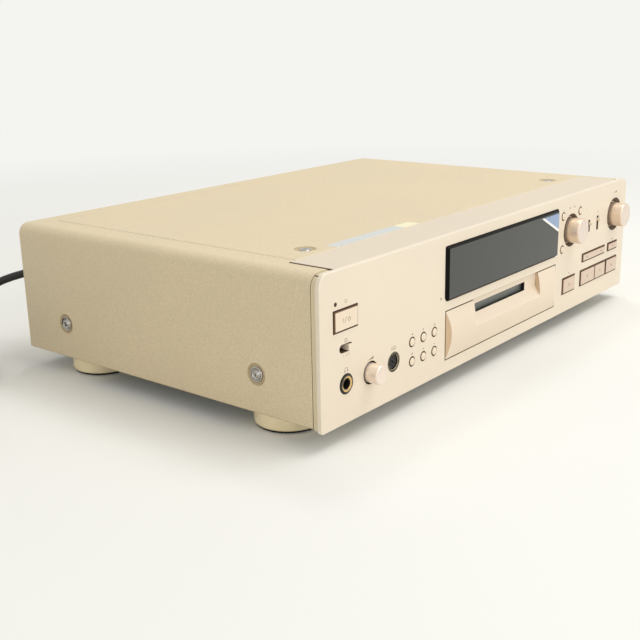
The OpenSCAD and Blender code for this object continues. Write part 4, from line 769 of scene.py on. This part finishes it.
# Keyboard
marks += [bar(-144.4, 62.2, -140.0, 62.2, 0.25), bar(-144.4, 60.4, -140.0, 60.4, 0.25),
          bar(-144.4, 60.3, -144.4, 62.3, 0.25), bar(-140.0, 60.3, -140.0, 62.3, 0.25),
          bar(-143.4, 61.7, -141.0, 61.7, 0.25)]
marks += [disc(-143.6 + k * 0.93, 61.0, 0.16, 8) for k in range(4)]
# Six functions: back, forward, repeat, list, plus, minus
gx, up_v, low_v = [x for x, v in function_buttons[:3]], 57.6, 70.9
marks += [arrow(gx[0], up_v, 1.5, 1.6, -1), arrow(gx[1], up_v, 1.5, 1.6, 1),
          arc(gx[2], up_v, 0.85, 0.25, 40, 340), arrow(gx[2] + 0.6, up_v - 0.75, 0.7, 0.7, 1)]
marks += [bar(gx[0] - 1, low_v + d, gx[0] + 1, low_v + d, 0.25) for d in (-0.6, 0, 0.6)]
marks += [bar(gx[1] - 0.9, low_v, gx[1] + 0.9, low_v, 0.28),
          bar(gx[1], low_v - 0.9, gx[1], low_v + 0.9, 0.28),
          bar(gx[2] - 0.9, low_v, gx[2] + 0.9, low_v, 0.28)]
# Skip marks above the jog knob, and at the small buttons
for s in (-1, 1):
    marks += [arrow(JOG_X + s * (3.2 + k), 10.2, 1.0, 1.3, s) for k in (0, 1)]
    marks.append(bar(JOG_X + s * 5.1, 9.5, JOG_X + s * 5.1, 10.9, 0.25))
marks += [bar(91, 10.6, 93, 10.6, 0.3), bar(121.4, 10.6, 123.4, 10.6, 0.3), disc(92, 46.9, 0.35, 12)]
# Lever ticks
marks += [bar(136.2, v, 137.6, v, 0.25) for v in (28.6, 33.0)]
marks += [bar(160.4, v, 161.8, v, 0.25) for v in (27.6, 30.8, 34.0)]
marks += [disc(141, 21.8, 0.4, 12), arc(157.5, 21.4, 0.75, 0.22, 0, 360, 20)]
# Record and eject, above their keys
marks += [arc(191, 50.3, 0.75, 0.25, 0, 360, 20), [(105.5, 64.2), (107.5, 64.2), (106.5, 63.0)]]
# Sensor
marks += [arc(-87.5, 41.9, 0.85, 0.3, 0, 360, 24), disc(-87.5, 41.9, 0.4, 12)]
prisms("panel_marks", marks, *PANEL_PRINT_D, PRINT, "deck")


# ---- rear and cord pieces --------------------------------------------------

# A line socket's radii: its bore, the metal sleeve and the coloured ring
PIN_R, METAL_R, RING_R = 1.7, 4.6, 5.6


def rear_paint(f):
    """1 on the line sockets' metal, 2 or 3 on the rings round them, and 0 elsewhere."""
    c = middle(f)
    outside = abs(f.normal.y) < 0.5 and c.y > REAR - 1.2 or c.y > REAR + 1
    for k, x in enumerate(RCA_X):
        r = math.hypot(c.x - x, c.z - RCA_Z)
        if outside and r < METAL_R:
            return 1 if r > PIN_R else 0
        if 4.2 < r < RING_R and c.y > REAR - 1.8 or outside and r < RING_R:
            return 2 + k % 2
    return 0


refine("rear_sockets", [DARK, BRASS, PALE_RING, RED_RING], [(0.2, 2, lambda m: m.y > REAR - 1.4)], "deck",
       "rear_socket_set", paint=rear_paint)

# The cord's grommet, with ribs on its sleeve, which narrows toward its end
RIBS, RIB_PITCH = 6, 3.3
relief = [(0, -7), (5.8, -7), (6.9, -4), (6.9, 1.2), (8.4, 1.2), (8.6, 1.4), (8.6, 3.2), (8.2, 3.6),
          (6.6, 4.4), (6.2, 5.2)]
for k in range(RIBS):
    h = 6.4 + RIB_PITCH * k
    r = 6.2 - 2.1 * (h - 5.2) / 22
    relief += [(r, h), (r - 0.75, h + 0.3), (r - 0.75, h + 1.3), (r - 0.1, h + 1.6)]
relief += [(4.1, 26.9), (3.8, 27.2), (0, 27.2)]
lathe("cord_relief", relief, (LEAD[0][0], REAR - 3.2, LEAD[0][2]), [RUBBER], "deck", 48, (0, 1, 0),
      replaces=("strain_relief",))
refine("plug", [RUBBER], [(0.6, 3, lambda m: m.y < 70)], "deck", "plug_body")


def strap(x0, x1, y0, y1, z0, z1, r=4, thick=0.5):
    """A flat band round the coil's turns, on the side near the deck, with corners of radius r."""
    loop_out, loop_in = [], []
    bends = ((x1 - r, z1 - r, 0), (x0 + r, z1 - r, 90), (x0 + r, z0 + r, 180), (x1 - r, z0 + r, 270))
    for cx, cz, t0 in bends:
        for k in range(9):
            t = math.radians(t0 + 90 * k / 8)
            loop_out.append((cx + r * math.cos(t), cz + r * math.sin(t)))
            loop_in.append((cx + (r - thick) * math.cos(t), cz + (r - thick) * math.sin(t)))
    bm = bmesh.new()
    a, b, c, d = [[bm.verts.new(Vector((x, y, z)) * MM) for x, z in ring]
                  for ring in (loop_out, loop_in) for y in (y0, y1)]
    for k in range(len(loop_out)):
        n = (k + 1) % len(loop_out)
        bm.faces.new((a[k], a[n], b[n], b[k]))
        bm.faces.new((c[k], d[k], d[n], c[n]))
        bm.faces.new((a[k], c[k], c[n], a[n]))
        bm.faces.new((b[k], b[n], d[n], d[k]))
    place(from_bmesh("cord_strap", bm, [STRAP], 40), "deck")


strap(-265.2, -240.4, 157, 167, 0.0, 13.9)

# ---- inside ----------------------------------------------------------------

dress(ZINC, "chassis_base")
dress(DARK, "jog_plunger", "pickup_sled", "phones_jack")
dress(STEEL, "slide_switches", "rotary_controls", "mech_chassis", "cartridge_holder", "lead_screw",
      "guide_rods", "head_arm", "mech_motors", "spindle", "loading_slider")
dress(BOARD, "control_boards")
# The capacitors are what stands higher on the boards than the chips
CHIP_TOP = 29.5
refine("circuit_boards", [BOARD, CAN], [], "deck", "board_set",
       paint=lambda f: 1 if middle(f).z > CHIP_TOP else 0)
dress(COPPER, "transformer")
dress(FIN, "heat_sink")
dress(RIBBON, "ribbon_cable")
dress(TUBE, "display_tube")
dress(DOOR, "slot_door")
dress(BRASS, "plug_pins")


# ---- studio ----------------------------------------------------------------

def area(name, where, target, size, power):
    """A soft rectangular lamp that points at the target."""
    lamp = bpy.data.lights.new(name, "AREA")
    lamp.shape = "RECTANGLE"
    lamp.size, lamp.size_y = size
    lamp.energy = power
    obj = bpy.data.objects.new(name, lamp)
    obj.location = where
    aim = Vector(target) - Vector(where)
    obj.rotation_euler = aim.to_track_quat("-Z", "Y").to_euler()
    SCENE.collection.objects.link(obj)


area("overhead", (0.45, -0.65, 1.75), (0, 0, 0), (1.0, 1.0), 13)
area("front_box", (-0.1, -1.8, 0.8), (-0.05, -0.1, 0.0), (1.6, 1.0), 9)
area("rear_key", (0.7, 0.6, 1.8), (0, 0, 0.05), (0.4, 0.4), 4)
area("left_fill", (-1.7, -0.7, 0.3), (0, 0, 0.02), (1.2, 0.5), 1.5)

# The backdrop's colour, and the world's strength as a light on the object, which is 1 where it is seen
BACKDROP, WORLD_LIGHT = lin("F4F4F1"), 0.66
# The floor's half width, and where it starts and ends its fade into the backdrop, all in m
FLOOR_HALF, FADE_START, FADE_END = 30, 0.45, 1.3


def either(tree, a, b):
    """The greater of two values."""
    m = tree.nodes.new("ShaderNodeMath")
    m.operation = "MAXIMUM"
    tree.links.new(a, m.inputs[0])
    tree.links.new(b, m.inputs[1])
    return m.outputs[0]


def make_world():
    world = bpy.data.worlds.new("studio")
    world.use_nodes = True
    SCENE.world = world
    tree = world.node_tree
    back = tree.nodes["Background"]
    paths = tree.nodes.new("ShaderNodeLightPath")
    seen = either(tree, paths.outputs["Is Camera Ray"], paths.outputs["Is Glossy Ray"])
    seen = either(tree, seen, paths.outputs["Is Transmission Ray"])
    back.inputs["Color"].default_value = BACKDROP
    tree.links.new(spread(tree, seen, WORLD_LIGHT, 1.0, 0, 1), back.inputs["Strength"])


def make_ground():
    """The floor's material, which turns into the backdrop's colour far from the object."""
    ground = bpy.data.materials.new("floor")
    ground.use_nodes = True
    tree = ground.node_tree
    shader = tree.nodes["Principled BSDF"]
    shader.inputs["Base Color"].default_value = lin("F2F1EC")
    shader.inputs["Roughness"].default_value = 0.9
    shader.inputs["Specular IOR Level"].default_value = 0.1
    paths = tree.nodes.new("ShaderNodeLightPath")
    seen = either(tree, paths.outputs["Is Camera Ray"], paths.outputs["Is Glossy Ray"])
    where = tree.nodes.new("ShaderNodeTexCoord")
    far = tree.nodes.new("ShaderNodeVectorMath")
    far.operation = "LENGTH"
    tree.links.new(where.outputs["Object"], far.inputs[0])
    reach = spread(tree, far.outputs["Value"], 0, 1, FADE_START, FADE_END)
    fade = tree.nodes.new("ShaderNodeMath")
    fade.operation = "MULTIPLY"
    tree.links.new(seen, fade.inputs[0])
    tree.links.new(reach, fade.inputs[1])
    glow = tree.nodes.new("ShaderNodeEmission")
    glow.inputs["Color"].default_value = BACKDROP
    mix = tree.nodes.new("ShaderNodeMixShader")
    tree.links.new(fade.outputs[0], mix.inputs[0])
    tree.links.new(shader.outputs[0], mix.inputs[1])
    tree.links.new(glow.outputs[0], mix.inputs[2])
    tree.links.new(mix.outputs[0], tree.nodes["Material Output"].inputs["Surface"])
    return ground


def make_floor():
    h = FLOOR_HALF
    mesh = bpy.data.meshes.new("floor")
    mesh.from_pydata([(-h, -h, 0), (h, -h, 0), (h, h, 0), (-h, h, 0)], [], [(0, 1, 2, 3)])
    floor = bpy.data.objects.new("floor", mesh)
    floor.location.z = -0.0002
    SCENE.collection.objects.link(floor)
    mesh.materials.append(make_ground())


make_world()
make_floor()

SCENE.view_settings.view_transform = "Standard"
